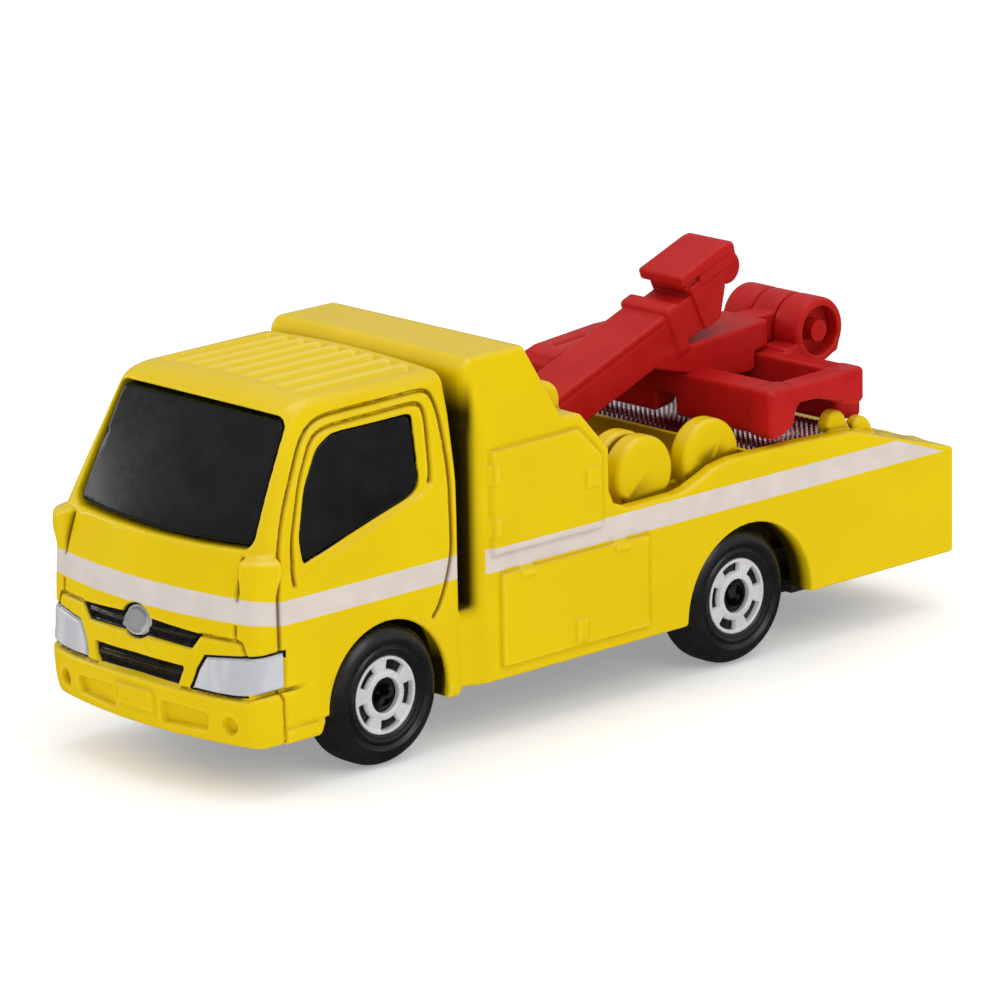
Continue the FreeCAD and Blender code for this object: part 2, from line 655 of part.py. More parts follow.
def boom_arm():
    stage, thick = dim.stage_half, dim.boom_thick
    raw = fuse("boom_raw", [
        lean_box("boom_box", dim.boom_half, dim.boom_u0, dim.boom_u1, -thick, 0),
        lean_box("boom_collar", dim.collar_half, dim.collar_u0, dim.collar_u1,
                 -(thick + 0.4), 0.45),
        lean_box("boom_stage", stage, dim.stage_u0, dim.stage_u1, -thick, -0.2),
        lean_box("boom_cheek", stage + 0.1, dim.cheek_u0, dim.cheek_u1, -(thick - 0.9), 0.6),
        lean_box("boom_head", dim.boom_half, dim.head_u0, dim.head_u1,
                 dim.head_w - dim.head_band, dim.head_w),
        lean_box("boom_head_core", stage, dim.head_u0 + 0.3, dim.head_u1 - 0.5,
                 -1.2, dim.head_w),
        rod("boom_lobe", dim.lobe_rad, span(stage), *along(dim.lobe_u, dim.lobe_w)),
        slab("arm_plate", ARM_OUTLINE, 2 * dim.arm_half),
        slab("boom_foot_plate", [
            (dim.pivot_y - dim.foot_rad, dim.pivot_z), (dim.pivot_y + dim.foot_rad, dim.pivot_z),
            (8.2, 19.6), (7.5, 22.5), (3.6, 20.6)], 2 * dim.boom_half),
        rod("boom_foot", dim.foot_rad, span(dim.boom_half), dim.pivot_y, dim.pivot_z),
        box("arm_web", span(dim.knuckle_in), (26.0, dim.knuckle_y), (21.25, 23.6)),
        rod("arm_knuckle", dim.knuckle_rad, span(dim.knuckle_in), dim.knuckle_y, dim.knuckle_z),
    ])
    return cut("boom_arm", raw, [
        rod("boom_pivot_bore", dim.pivot_bore_rad, span(6), dim.pivot_y, dim.pivot_z),
        rod("arm_hinge_bore", dim.hinge_bore_rad, span(6), dim.knuckle_y, dim.knuckle_z)])


def boom_pin():
    return rod("boom_pin", dim.pivot_pin_rad, span(dim.ear_in + dim.ear_thick),
               dim.pivot_y, dim.pivot_z)


# ----------------------------------------------------------------------------------
# wheel-lift cradle on the end of the arm
# ----------------------------------------------------------------------------------
def cradle():
    y0, y1, low_z = dim.cradle_y0, dim.cradle_y1, dim.cradle_low_z
    hinge = (dim.knuckle_y, dim.knuckle_z)
    outline = [
        (y0 + 0.2, low_z), (y0 + 1.2, low_z + 0.2), (19.4, 19.0),
        (20.3, dim.cradle_arch_z), (24.4, dim.cradle_arch_z), (26.4, dim.rear_low_z),
        (y1, dim.rear_low_z + 0.5), (y1, dim.cradle_rear_z),
        (y0, dim.cradle_front_z), (y0, low_z + 1)]
    items = []
    for side, xs in sides(dim.cradle_open, dim.cradle_half):
        items.append(slab("cradle_plate_" + side, outline, xs[1] - xs[0], start=xs[0]))
    for side, xs in sides(dim.knuckle_gap, dim.knuckle_out):
        items.append(rod("cradle_knuckle_" + side, dim.knuckle_rad, xs, *hinge))
        items.append(box("cradle_web_" + side, xs, (26.5, dim.knuckle_y), (19.9, 21.4)))
        items.append(box("cradle_tab_" + side, xs, (dim.knuckle_y, 32.5), (20.05, 21.1)))
    for side, xs in sides(dim.knuckle_gap, dim.cradle_half):
        items.append(box("cradle_rear_" + side, xs, (dim.rear_bar_y, y1),
                         (dim.rear_low_z, dim.cradle_rear_z - 0.05)))
    items.append(box("cradle_front", span(dim.cradle_half), (y0, y0 + dim.front_bar_depth),
                     (low_z + 0.1, dim.cradle_front_z)))
    items.append(box("cradle_foot_bar", span(9.1), (26.9, 29.1), (16.5, 18.9)))

    tools = [rod("cradle_pin_bore", dim.hinge_pin_rad + dim.fit, span(6), *hinge)]
    for side, xs in sides(dim.knuckle_out - 0.7, dim.knuckle_out + 0.1):
        tools.append(rod("cradle_sink_" + side, dim.hinge_sink_rad, xs, *hinge))
    tools.append(box("cradle_under_relief", span(1.1), (y0 - 0.1, y0 + 2.6),
                     (low_z - 1, low_z + 1.6)))
    return cut("cradle", fuse("cradle_raw", items), tools)


def cradle_pin():
    return rod("cradle_pin", dim.hinge_pin_rad, span(dim.knuckle_out - dim.hinge_pin_inset),
               dim.knuckle_y, dim.knuckle_z)


# ----------------------------------------------------------------------------------
# winch housing and deck plate
# ----------------------------------------------------------------------------------
def winch_housing():
    y0, y1, foot_y = dim.winch_y0, dim.winch_y1, dim.winch_foot_y
    foot_z = dim.well_z + 0.02  # just clear of the well floor
    return slab("winch_profile", [
        (y0, foot_z), (foot_y, foot_z), (foot_y, 17.6), (y1, 20.0),
        (y1, dim.winch_z + 0.35), (y0 + 1.5, dim.winch_z - 0.05), (y0, dim.winch_z - 0.9)],
        dim.winch_out - dim.winch_in, start=-dim.winch_out)


def deck_plate():
    """Plate on the deck, notched at its rear corners round the front lugs."""
    blank = box("deck_plate_blank", span(dim.plate_half), (dim.plate_y0, dim.plate_y1),
                (dim.deck_z + 0.01, dim.plate_z))
    notch_ys = (dim.lug_front_y - dim.lug_rad - dim.notch_gap, 30)
    return cut("deck_plate", blank, [
        box("lug_notch_" + side, xs, notch_ys, (15, 18))
        for side, xs in sides(dim.lug_in - dim.notch_gap, 12)])


# ----------------------------------------------------------------------------------
# build, check and write
# ----------------------------------------------------------------------------------
nodes = {
    "body_casting": body_casting(),
    "window_insert": window_insert(),
    "base_plate": base_plate(),
    "rivets": rivets(),
}
for place, y in AXLES:
    nodes[place + "_axle"] = axle(place, y)
    nodes[place + "_spring"] = spring(place, y)
for place, y in AXLES:
    for side in ("left", "right"):
        nodes[f"tyre_{place}_{side}"] = tyre(place, side, y)
        nodes[f"hub_{place}_{side}"] = hub(place, side, y)
nodes["boom_arm"] = boom_arm()
nodes["boom_pin"] = boom_pin()
nodes["cradle"] = cradle()
nodes["cradle_pin"] = cradle_pin()
nodes["winch_housing"] = winch_housing()
nodes["deck_plate"] = deck_plate()
doc.recompute()

for obj in doc.Objects:
    bad = [state for state in obj.State if state in ("Invalid", "Error")]
    if bad:
        raise RuntimeError(f"{obj.Name} is {bad}")
for name, obj in nodes.items():
    obj.Label = name
    if obj.Shape.isNull() or not obj.Shape.isValid():
        raise RuntimeError(name + " has no valid shape")
    if len(obj.Shape.Solids) != (2 if name == "rivets" else 1):
        raise RuntimeError(f"{name} has {len(obj.Shape.Solids)} solids")

os.makedirs("parts", exist_ok=True)
for name, obj in nodes.items():
    obj.Shape.exportStep(os.path.join("parts", name + ".step"))
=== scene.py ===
# Pocket die-cast tow truck: cast body, moulded windows, boom, cradle, winch and wheels.
# -Y is the nose, +X the truck's left side, +Z up.  Shapes are signed distances on a lattice
# in millimetres (negative inside), meshed and brought to metres at the end.
import math

import bmesh
import bpy
import numpy as np
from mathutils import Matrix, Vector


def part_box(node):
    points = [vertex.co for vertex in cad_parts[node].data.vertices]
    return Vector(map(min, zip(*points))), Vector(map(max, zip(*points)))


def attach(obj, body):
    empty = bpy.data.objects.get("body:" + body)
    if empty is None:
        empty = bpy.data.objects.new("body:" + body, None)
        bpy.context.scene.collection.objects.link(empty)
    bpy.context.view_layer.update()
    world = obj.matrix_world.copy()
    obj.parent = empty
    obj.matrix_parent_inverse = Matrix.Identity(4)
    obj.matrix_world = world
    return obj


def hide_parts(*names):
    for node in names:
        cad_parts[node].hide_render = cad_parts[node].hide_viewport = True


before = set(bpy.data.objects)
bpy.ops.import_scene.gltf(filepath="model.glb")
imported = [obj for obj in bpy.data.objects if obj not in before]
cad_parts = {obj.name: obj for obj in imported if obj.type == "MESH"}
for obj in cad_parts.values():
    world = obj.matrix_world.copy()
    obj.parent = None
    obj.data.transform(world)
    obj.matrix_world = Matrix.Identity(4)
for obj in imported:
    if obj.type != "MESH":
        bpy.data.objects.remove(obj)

import openvdb as vdb
from mathutils import Matrix, Vector

f32 = np.float32
MM = 0.001
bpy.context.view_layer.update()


def box_mm(node):
    lo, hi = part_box(node)
    return [v * 1000 for v in lo], [v * 1000 for v in hi]


# ---- driving sizes, mm -----------------------------------------------------------
BODY_LO, BODY_HI = box_mm("body_casting")
HALF_WIDTH = BODY_HI[0]           # of the bed and toolbox
NOSE, TAIL = BODY_LO[1], BODY_HI[1]
ROOF = BODY_HI[2]
TYRE_LO, TYRE_HI = box_mm("tyre_front_left")
REAR_LO, REAR_HI = box_mm("tyre_rear_left")
FRONT_AXLE_Y = 0.5 * (TYRE_LO[1] + TYRE_HI[1])
REAR_AXLE_Y = 0.5 * (REAR_LO[1] + REAR_HI[1])
AXLE_Z = 0.5 * (TYRE_LO[2] + TYRE_HI[2])
TYRE_RADIUS = 0.5 * (TYRE_HI[1] - TYRE_LO[1])
HUB_LO, HUB_HI = box_mm("hub_front_left")
HUB_RADIUS = 0.5 * (HUB_HI[1] - HUB_LO[1])
AXLE_END = box_mm("front_axle")[1][0]

BODY_STEP = 0.11      # lattice steps
BOOM_STEP = 0.085
HUB_STEP = 0.045

FRONT_ARCH = (-22.2, 5.16)        # wheel arch centres, (y, z)
REAR_ARCH = (14.6, 4.46)
BOOM_PIN = (4.2, 16.2)            # pivot centres, (y, z)
CRADLE_PIN = (30.2, 22.15)
ROOF_RIB_PITCH = 1.87
STRIPE_TOP = 14.56

# Nose outlines, (|x|, z).  The grilles list their outer edge; each user closes them inwards.
UPPER_GRILLE = [(1.5, 12.29), (6.49, 11.95), (6.12, 11.42), (5.62, 10.8)]
LOWER_GRILLE = [(4.92, 9.33), (4.68, 8.75), (4.42, 7.9)]
LAMP = [(6.95, 10.36), (10.23, 10.71), (11.6, 10.82), (11.6, 8.25), (10.87, 8.1),
        (9.72, 7.92), (7.84, 7.9), (5.82, 7.98), (6.3, 9.35)]
LAMP_REAR = -32.3
BADGE_Z = 11.86
BADGE_HALF = (1.62, 1.27)

# Windscreen, (x, z), running past the middle so that only its outer side counts
SCREEN = [(-9, 27.2), (9.0, 27.15), (9.88, 18.3), (5.0, 18.1), (0, 18.02), (-9, 18.02)]
# Side of the cab, (y, z): window opening, groove round it, groove below it, door groove
SIDE_GLASS = [(-30.1, 16.8), (-30.2, 18.6), (-29.05, 22.0), (-27.4, 24.6), (-25.9, 25.4),
              (-18.4, 25.55), (-18.45, 20.35), (-19.0, 19.75)]
RING = [(-31.05, 15.45), (-31.29, 16.68), (-31.08, 18.44), (-29.41, 22.75), (-28.01, 25.21),
        (-27.16, 25.77), (-26.0, 25.99), (-19.41, 26.21), (-17.89, 26.23), (-17.36, 25.85),
        (-17.31, 24.55), (-17.47, 21.32), (-17.6, 20.5)]
RING_LOW = [(-17.6, 20.5), (-18.4, 19.9), (-25.5, 17.75), (-29.9, 16.1)]
DOOR = [(-32.66, 11.0), (-32.69, 14.75), (-32.63, 17.67), (-31.65, 20.33), (-30.29, 22.92),
        (-28.9, 25.5), (-27.8, 26.42), (-26.58, 26.8), (-19.24, 26.98), (-17.1, 27.05),
        (-16.35, 26.6), (-16.0, 24.68), (-15.8, 21.74), (-15.78, 18.79), (-15.73, 14.88),
        (-16.28, 12.88), (-17.02, 11.14), (-17.73, 10.4)]


# ---- distance fields -------------------------------------------------------------
# In the flat helpers x and y stand for whichever two axes are handed in.


def inter(a, b, radius=0.0):
    """Overlap of two fields; radius (a number or a field) rounds the edge."""
    if np.isscalar(radius) and radius <= 0:
        return np.maximum(a, b)
    rounded = np.hypot(np.maximum(a + radius, 0), np.maximum(b + radius, 0))
    return np.minimum(-radius, np.maximum(a, b)) + rounded


def union(a, b, radius=0.0):
    if radius <= 0:
        return np.minimum(a, b)
    rounded = np.hypot(np.maximum(radius - a, 0), np.maximum(radius - b, 0))
    return np.maximum(radius, np.minimum(a, b)) - rounded


def minus(a, b, radius=0.0):
    return inter(a, -b, radius)


def ramp(value, start, end):
    """Smooth step from 0 at start to 1 at end."""
    t = np.clip((value - start) / (end - start), 0, 1)
    return t * t * (3 - 2 * t)


def turning(points):
    """1 for an anticlockwise outline, -1 for a clockwise one."""
    pairs = zip(points, points[1:] + points[:1])
    return 1.0 if sum(a[0] * b[1] - b[0] * a[1] for a, b in pairs) > 0 else -1.0


def inset(points, amount):
    points = [np.array(p, float) for p in points]
    sign = turning(points)
    out = []
    for i, here in enumerate(points):
        before, after = points[i - 1], points[(i + 1) % len(points)]
        edge_in = (here - before) / np.linalg.norm(here - before)
        edge_out = (after - here) / np.linalg.norm(after - here)
        normal_in = sign * np.array([-edge_in[1], edge_in[0]])
        normal_out = sign * np.array([-edge_out[1], edge_out[0]])
        spread = 1 + normal_in.dot(normal_out)
        out.append(here + amount * (normal_in + normal_out) / max(spread, 0.35))
    return out


def segment_gap(x, y, start, end):
    """Squared distance to a straight piece."""
    run, rise = end[0] - start[0], end[1] - start[1]
    from_x, from_y = x - f32(start[0]), y - f32(start[1])
    along = from_x * f32(run) + from_y * f32(rise)
    t = np.clip(along / f32(run * run + rise * rise), 0, 1)
    return (from_x - f32(run) * t) ** 2 + (from_y - f32(rise) * t) ** 2


def poly(x, y, points, radius=0.0):
    """Signed distance to a closed outline; radius rounds its convex corners."""
    if radius:
        points = inset(points, radius)
    nearest, inside = np.inf, False
    for i, end in enumerate(points):
        start = points[i - 1]
        nearest = np.minimum(nearest, segment_gap(x, y, start, end))
        run, rise = end[0] - start[0], end[1] - start[1]
        above, below = y >= start[1], y < end[1]
        left = f32(run) * (y - f32(start[1])) > f32(rise) * (x - f32(start[0]))
        inside = inside ^ ((above & below & left) | (~above & ~below & ~left))
    return np.where(inside, f32(-1), f32(1)) * np.sqrt(nearest) - f32(radius)


def path(x, y, points):
    """Distance to an open run of straight pieces."""
    nearest = np.inf
    for start, end in zip(points, points[1:]):
        nearest = np.minimum(nearest, segment_gap(x, y, start, end))
    return np.sqrt(nearest)


def soften(points, reach, closed=False, steps=4):
    """Rounds the corners of a run of points, each over at most the given reach."""
    points = [np.array(p, float) for p in points]
    count = len(points)
    out = [] if closed else [points[0]]
    for i in range(0 if closed else 1, count if closed else count - 1):
        before, here, after = points[i - 1], points[i], points[(i + 1) % count]
        gap_in, gap_out = np.linalg.norm(before - here), np.linalg.norm(after - here)
        enter = here + (before - here) * min(reach, gap_in / 2) / gap_in
        leave = here + (after - here) * min(reach, gap_out / 2) / gap_out
        for k in range(steps + 1):
            t = k / steps
            out.append((1 - t) ** 2 * enter + 2 * t * (1 - t) * here + t * t * leave)
    if not closed:
        out.append(points[-1])
    kept = [out[0]]
    for point in out[1:]:
        if np.linalg.norm(point - kept[-1]) > 1e-3:
            kept.append(point)
    return kept


def rod(x, y, centre, radius):
    return np.hypot(x - f32(centre[0]), y - f32(centre[1])) - f32(radius)


def slab(axis, lo, hi):
    return np.abs(axis - f32(0.5 * (lo + hi))) - f32(0.5 * (hi - lo))


def brick(x, y, z, lo, hi, radius=0.0):
    flat = inter(slab(x, lo[0], hi[0]), slab(y, lo[1], hi[1]), radius)
    return inter(flat, slab(z, lo[2], hi[2]), radius)


def across(outline, x, lo, hi, radius=0.0):
    """An outline in y and z, carried across x from lo to hi."""
    return inter(outline, slab(x, lo, hi), radius)


def rect(centre, half):
    (y, z), (half_y, half_z) = centre, half
    return [(y - half_y, z - half_z), (y + half_y, z - half_z),
            (y + half_y, z + half_z), (y - half_y, z + half_z)]


def dent(distance, half, depth):
    """Soft trench of a given half width."""
    return f32(depth) * np.exp(-((distance / f32(half)) ** 2) * f32(1.2))


def pad(distance, height, soft=0.15):
    """Soft plateau inside an outline."""
    return height * ramp(-distance, -soft, soft)


class Block:
    """A lattice of distances; a half block covers x >= 0 and is mirrored when meshed."""

    def __init__(self, lo, hi, step, half=False):
        self.step, self.lo, self.half = step, list(lo), half
        self.count = [int(math.ceil((b - a) / step)) + 1 for a, b in zip(lo, hi)]
        self.x = self.stations(0)[:, None, None]
        self.y = self.stations(1)[None, :, None]
        self.z = self.stations(2)[None, None, :]
        self.field = np.full(self.count, 9.0, f32)

    def stations(self, axis):
        return np.arange(self.count[axis], dtype=f32) * f32(self.step) + f32(self.lo[axis])

    def snap_y(self, other):
        """Shifts and trims the block onto the other's y stations; gives those they share."""
        first = int(math.floor((self.lo[1] - other.lo[1]) / self.step))
        self.lo[1] = other.lo[1] + first * self.step
        self.count[1] = min(self.count[1], other.count[1] - first)
        self.y = self.stations(1)[None, :, None]
        self.field = self.field[:, :self.count[1]]
        return slice(first, first + self.count[1])

    def part(self, lo, hi):
        cut = []
        for i in range(3):
            first = max(0, int(math.floor((lo[i] - self.lo[i]) / self.step)))
            last = min(self.count[i], int(math.ceil((hi[i] - self.lo[i]) / self.step)) + 1)
            cut.append(slice(first, last))
        return tuple(cut), (self.x[cut[0]], self.y[:, cut[1]], self.z[:, :, cut[2]])

    def add(self, lo, hi, shape, radius=0.0):
        """Joins a shape, worked out only between lo and hi."""
        window, places = self.part(lo, hi)
        self.field[window] = union(self.field[window], shape(*places), radius)

    def cut(self, lo, hi, shape, radius=0.0):
        window, places = self.part(lo, hi)
        self.field[window] = minus(self.field[window], shape(*places), radius)

    def sink(self, lo, hi, relief):
        """Lowers the surface by the relief, or raises it where that is negative."""
        window, places = self.part(lo, hi)
        self.field[window] += relief(*places)

    def whole(self):
        if not self.half:
            return self.field, self.lo
        mirrored = np.concatenate([self.field[:0:-1], self.field], 0)
        return mirrored, [self.lo[0] - self.step * (self.count[0] - 1), self.lo[1], self.lo[2]]


# ---- meshing ---------------------------------------------------------------------


def sample(field, places):
    """Trilinear value of a field at lattice positions."""
    last = np.array(field.shape) - 2
    cell = np.clip(np.floor(places).astype(np.int64), 0, last)
    part = (places - cell).astype(f32)
    out = 0
    for i in (0, 1):
        for j in (0, 1):
            for k in (0, 1):
                weight = ((part[:, 0] if i else 1 - part[:, 0])
                          * (part[:, 1] if j else 1 - part[:, 1])
                          * (part[:, 2] if k else 1 - part[:, 2]))
                out = out + weight * field[cell[:, 0] + i, cell[:, 1] + j, cell[:, 2] + k]
    return out


def slope(field, places):
    out = np.empty((len(places), 3), f32)
    for k in range(3):
        ahead, behind = places.copy(), places.copy()
        ahead[:, k] += 0.8
        behind[:, k] -= 0.8
        out[:, k] = sample(field, ahead) - sample(field, behind)
    return out


def link_object(name, mesh):
    ob = bpy.data.objects.new(name, mesh)
    bpy.context.scene.collection.objects.link(ob)
    return ob


def new_object(name, verts, faces):
    mesh = bpy.data.meshes.new(name)
    mesh.from_pydata(verts, [], faces)
    return link_object(name, mesh)


def raw_mesh(name, field, origin, step, adapt):
    """The field's zero surface as a mesh, and its triangle count."""
    grid = vdb.FloatGrid(3 * step)
    grid.copyFromArray(np.clip(field, -3 * step, 3 * step).astype(f32))
    points, triangles, quads = grid.convertToPolygons(0.0, adapt)
    points = (points.astype(np.float64) * step + np.array(origin)) * MM
    n_quads, n_tris = len(quads), len(triangles)
    corners = np.concatenate([quads.ravel(), triangles.ravel()]).astype(np.int32)
    starts = np.concatenate([np.arange(n_quads) * 4, n_quads * 4 + np.arange(n_tris) * 3])
    mesh = bpy.data.meshes.new(name)
    mesh.vertices.add(len(points))
    mesh.vertices.foreach_set("co", points.astype(f32).ravel())
    mesh.loops.add(len(corners))
    mesh.loops.foreach_set("vertex_index", corners)
    mesh.polygons.add(n_quads + n_tris)
    mesh.polygons.foreach_set("loop_start", starts.astype(np.int32))
    mesh.update(calc_edges=True)
    mesh.validate()
    return mesh, n_quads * 2 + n_tris


def thin(ob, ratio):
    full, name = ob.data, ob.data.name
    ob.modifiers.new("thin", "DECIMATE").ratio = ratio
    graph = bpy.context.evaluated_depsgraph_get()
    slim = bpy.data.meshes.new_from_object(ob.evaluated_get(graph))
    ob.modifiers.clear()
    ob.data = slim
    bpy.data.meshes.remove(full)
    slim.name = name


def face_outwards(mesh, field, places):
    """Flips the mesh if a sample of its faces runs against the field's slope."""
    count = len(mesh.polygons)
    faces = range(0, count, max(1, count // 400))
    tri = np.array([mesh.polygons[i].vertices[:3] for i in faces])
    first, second, third = (places[tri[:, k]] for k in range(3))
    outward = slope(field, (first + second + third) / 3)
    if np.sum(np.cross(second - first, third - first) * outward) < 0:
        mesh.flip_normals()


def occlusion_and_edge_values(field, places, normals, step):
    """How closed-in and how sharply convex the surface is at each vertex."""
    crevice = np.zeros(len(places), f32)
    for reach in (0.15, 0.3, 0.6, 1.2):
        ahead = sample(field, places + normals * (reach / step))
        crevice += 0.25 * np.clip(1 - ahead / reach, 0, 1)
    edge = np.zeros(len(places), f32)
    reach = 0.3
    for k in range(3):
        for side in (-1, 1):
            moved = places.copy()
            moved[:, k] += side * (reach / step)
            edge += sample(field, moved) / 6
    return crevice, (edge - sample(field, places)) / reach


def mesh_block(name, block, most, adapt=0.02):
    """Meshes a block in at most so many triangles, with normals from the field, and how closed-in
    and how convex each vertex is, for painted shade and lightened edges.
    """
    field, origin = block.whole()
    mesh, count = raw_mesh(name, field, origin, block.step, adapt)
    ob = link_object(name, mesh)
    if count > most:
        thin(ob, most / count)
    mesh = ob.data
    coords = np.empty(len(mesh.vertices) * 3, f32)
    mesh.vertices.foreach_get("co", coords)
    places = (coords.reshape(-1, 3) / MM - np.array(origin)) / block.step
    face_outwards(mesh, field, places)
    normals = slope(field, places)
    normals /= np.maximum(np.linalg.norm(normals, axis=1, keepdims=True), 1e-6)
    mesh.polygons.foreach_set("use_smooth", np.ones(len(mesh.polygons), bool))
    mesh.normals_split_custom_set_from_vertices(normals.tolist())
    crevice, edge = occlusion_and_edge_values(field, places, normals, block.step)
    for label, values in (("crev", crevice), ("edge", edge)):
        attribute = mesh.attributes.new(label, "FLOAT", "POINT")
        attribute.data.foreach_set("value", values.astype(f32))
    return ob


def fit(ob, material, piece, mover):
    """Gives a new object its material and puts it in the place of a CAD piece."""
    ob.data.materials.append(material)
    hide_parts(piece)
    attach(ob, mover)


# ---- material builder ------------------------------------------------------------


class Shader:
    """Node tree of one material; positions are object coordinates in millimetres."""

    def __init__(self, name):
        self.material = bpy.data.materials.new(name)
        self.material.use_nodes = True
        self.tree = self.material.node_tree
        self.surface = self.tree.nodes["Principled BSDF"]
        coords = self.node("ShaderNodeTexCoord")
        scale = self.node("ShaderNodeVectorMath", operation="SCALE")
        scale.inputs[3].default_value = 1000
        self.link(coords.outputs["Object"], scale.inputs[0])
        self.position = scale.outputs[0]

    def node(self, kind, **props):
        node = self.tree.nodes.new(kind)
        for key, value in props.items():
            setattr(node, key, value)
        return node

    def link(self, output, socket):
        self.tree.links.new(output, socket)

    def put(self, socket, value):
        if isinstance(value, (int, float)):
            socket.default_value = value
        elif isinstance(value, (tuple, list)):
            needs_alpha = len(value) == 3 and len(socket.default_value) == 4
            socket.default_value = tuple(value) + ((1.0,) if needs_alpha else ())
        else:
            self.link(value, socket)

    def split(self, vector):
        node = self.node("ShaderNodeSeparateXYZ")
        self.link(vector, node.inputs[0])
        return node.outputs

    def math(self, kind, *values):
        node = self.node("ShaderNodeMath", operation=kind)
        for socket, value in zip(node.inputs, values):
            self.put(socket, value)
        return node.outputs[0]

    def add(self, a, b):
        return self.math("ADD", a, b)

    def sub(self, a, b):
        return self.math("SUBTRACT", a, b)

    def mul(self, a, b):
        return self.math("MULTIPLY", a, b)

    def max(self, a, b):
        return self.math("MAXIMUM", a, b)

    def min(self, a, b):
        return self.math("MINIMUM", a, b)

    def less(self, a, b):
        return self.math("LESS_THAN", a, b)

    def more(self, a, b):
        return self.math("GREATER_THAN", a, b)

    def fade(self, value, start, end, low=0.0, high=1.0):
        """Smooth change from low at start to high at end."""
        node = self.node("ShaderNodeMapRange", interpolation_type="SMOOTHSTEP")
        for socket, item in zip(node.inputs, (value, start, end, low, high)):
            self.put(socket, item)
        return node.outputs[0]

    def mix(self, factor, first, second):
        node = self.node("ShaderNodeMix", data_type="RGBA")
        for index, value in ((0, factor), (6, first), (7, second)):
            self.put(node.inputs[index], value)
        return node.outputs[2]

    def noise(self, scale, detail=3.0, rough=0.5, vector=None):
        node = self.node("ShaderNodeTexNoise")
        node.inputs["Scale"].default_value = scale
        node.inputs["Detail"].default_value = detail
        node.inputs["Roughness"].default_value = rough
        self.link(self.position if vector is None else vector, node.inputs["Vector"])
        return node.outputs["Fac"]

    def mottle(self, noise, tones, start=0.3, end=0.7):
        """Two tones blended by a noise."""
        return self.mix(self.fade(noise, start, end), *tones)

    def stretch(self, factors):
        node = self.node("ShaderNodeVectorMath", operation="MULTIPLY")
        self.link(self.position, node.inputs[0])
        node.inputs[1].default_value = factors
        return node.outputs[0]

    def attribute(self, name):
        return self.node("ShaderNodeAttribute", attribute_name=name).outputs["Fac"]

    def facing_up(self, low, high):
        """low on upright faces, high on level ones that look up."""
        geometry = self.node("ShaderNodeNewGeometry")
        normal_z = self.split(geometry.outputs["True Normal"])[2]
        return self.fade(normal_z, 0.25, 0.85, low=low, high=high)

    def rubbed(self, fine):
        """Exposed edges, from the curvature of the mesh, broken up by noise."""
        pointiness = self.node("ShaderNodeNewGeometry").outputs["Pointiness"]
        return self.mul(self.fade(pointiness, 0.515, 0.60), self.fade(fine, 0.25, 0.75))

    def bump(self, height, strength, distance):
        node = self.node("ShaderNodeBump")
        node.inputs["Strength"].default_value = strength
        node.inputs["Distance"].default_value = distance
        self.link(height, node.inputs["Height"])
        return node.outputs[0]

    def set(self, **values):
        sockets = {"color": "Base Color", "rough": "Roughness", "metal": "Metallic",
                   "normal": "Normal", "coat": "Coat Weight", "coat_rough": "Coat Roughness",
                   "specular": "Specular IOR Level"}
        for key, value in values.items():
            self.put(self.surface.inputs[sockets[key]], value)

    def radius(self, a, b):
        return self.math("SQRT", self.add(self.math("POWER", a, 2.0), self.math("POWER", b, 2.0)))

    def band(self, value, low, high):
        """Distance outside the band low to high, negative within it."""
        return self.max(self.sub(value, high), self.sub(low, value))

    def outline(self, across, up, points, ease=0.0):
        """Distance-like value of a convex outline, negative inside; ease rounds corners."""
        points = [np.array(p, float) for p in points]
        sign = turning(points)
        out = None
        for start, end in zip(points, points[1:] + points[:1]):
            edge = (end - start) / np.linalg.norm(end - start)
            nx, ny = sign * edge[1], -sign * edge[0]
            offset = float(-(nx * start[0] + ny * start[1]))
            side = self.add(self.math("MULTIPLY_ADD", across, float(nx), offset),
                            self.mul(up, float(ny)))
            if out is None:
                out = side
            elif ease:
                out = self.math("SMOOTH_MAX", out, side, ease)
            else:
                out = self.max(out, side)
        return out

    def inside(self, distance):
        return self.fade(distance, -0.03, 0.03, low=1.0, high=0.0)


# ---- body paint ------------------------------------------------------------------
# Pairs of tones are blended by noise.
YELLOW = (0.750, 0.530, 0.0008), (0.785, 0.562, 0.0012)
# lighter yellow for convex edges: partly worn paint, partly a painted highlight
EDGE_WEAR_AND_HIGHLIGHT = (0.92, 0.72, 0.045)
# painted shade for creases, recesses and gaps between parts
CREVICE_SHADE_YELLOW = (0.20, 0.10, 0.002)
# painted shade for the roof rib grooves and painted highlight for their crests
RIB_GROOVE_SHADE, RIB_CREST_HIGHLIGHT = (0.735, 0.540, 0.004), (0.83, 0.63, 0.085)
STRIPE = (0.650, 0.575, 0.520), (0.700, 0.625, 0.570)
DEEP_SHADOW = (0.014, 0.008, 0.001)
# painted shade for the walls of the window openings
WINDOW_WALL_SHADE = (0.004, 0.004, 0.004)
GRILLE_BLACK = (0.006, 0.006, 0.006), (0.016, 0.015, 0.014)
LAMP_SILVER = (0.53, 0.54, 0.575), (0.63, 0.64, 0.67)
BADGE_RING, BADGE_FACE = (0.55, 0.55, 0.56), (0.30, 0.30, 0.31)

# Painted outlines, (|x|, z), convex and so a little simpler than the cast ones
PAINTED_SCREEN = [(-1, 27.14), (8.9, 27.11), (9.79, 18.38), (5.0, 18.17), (-1, 18.1)]
PAINTED_LAMP = [(6.95, 10.36), (10.23, 10.71), (12.6, 10.86), (12.6, 8.3), (10.87, 8.1),
                (9.72, 7.92), (5.82, 7.96), (6.3, 9.35)]


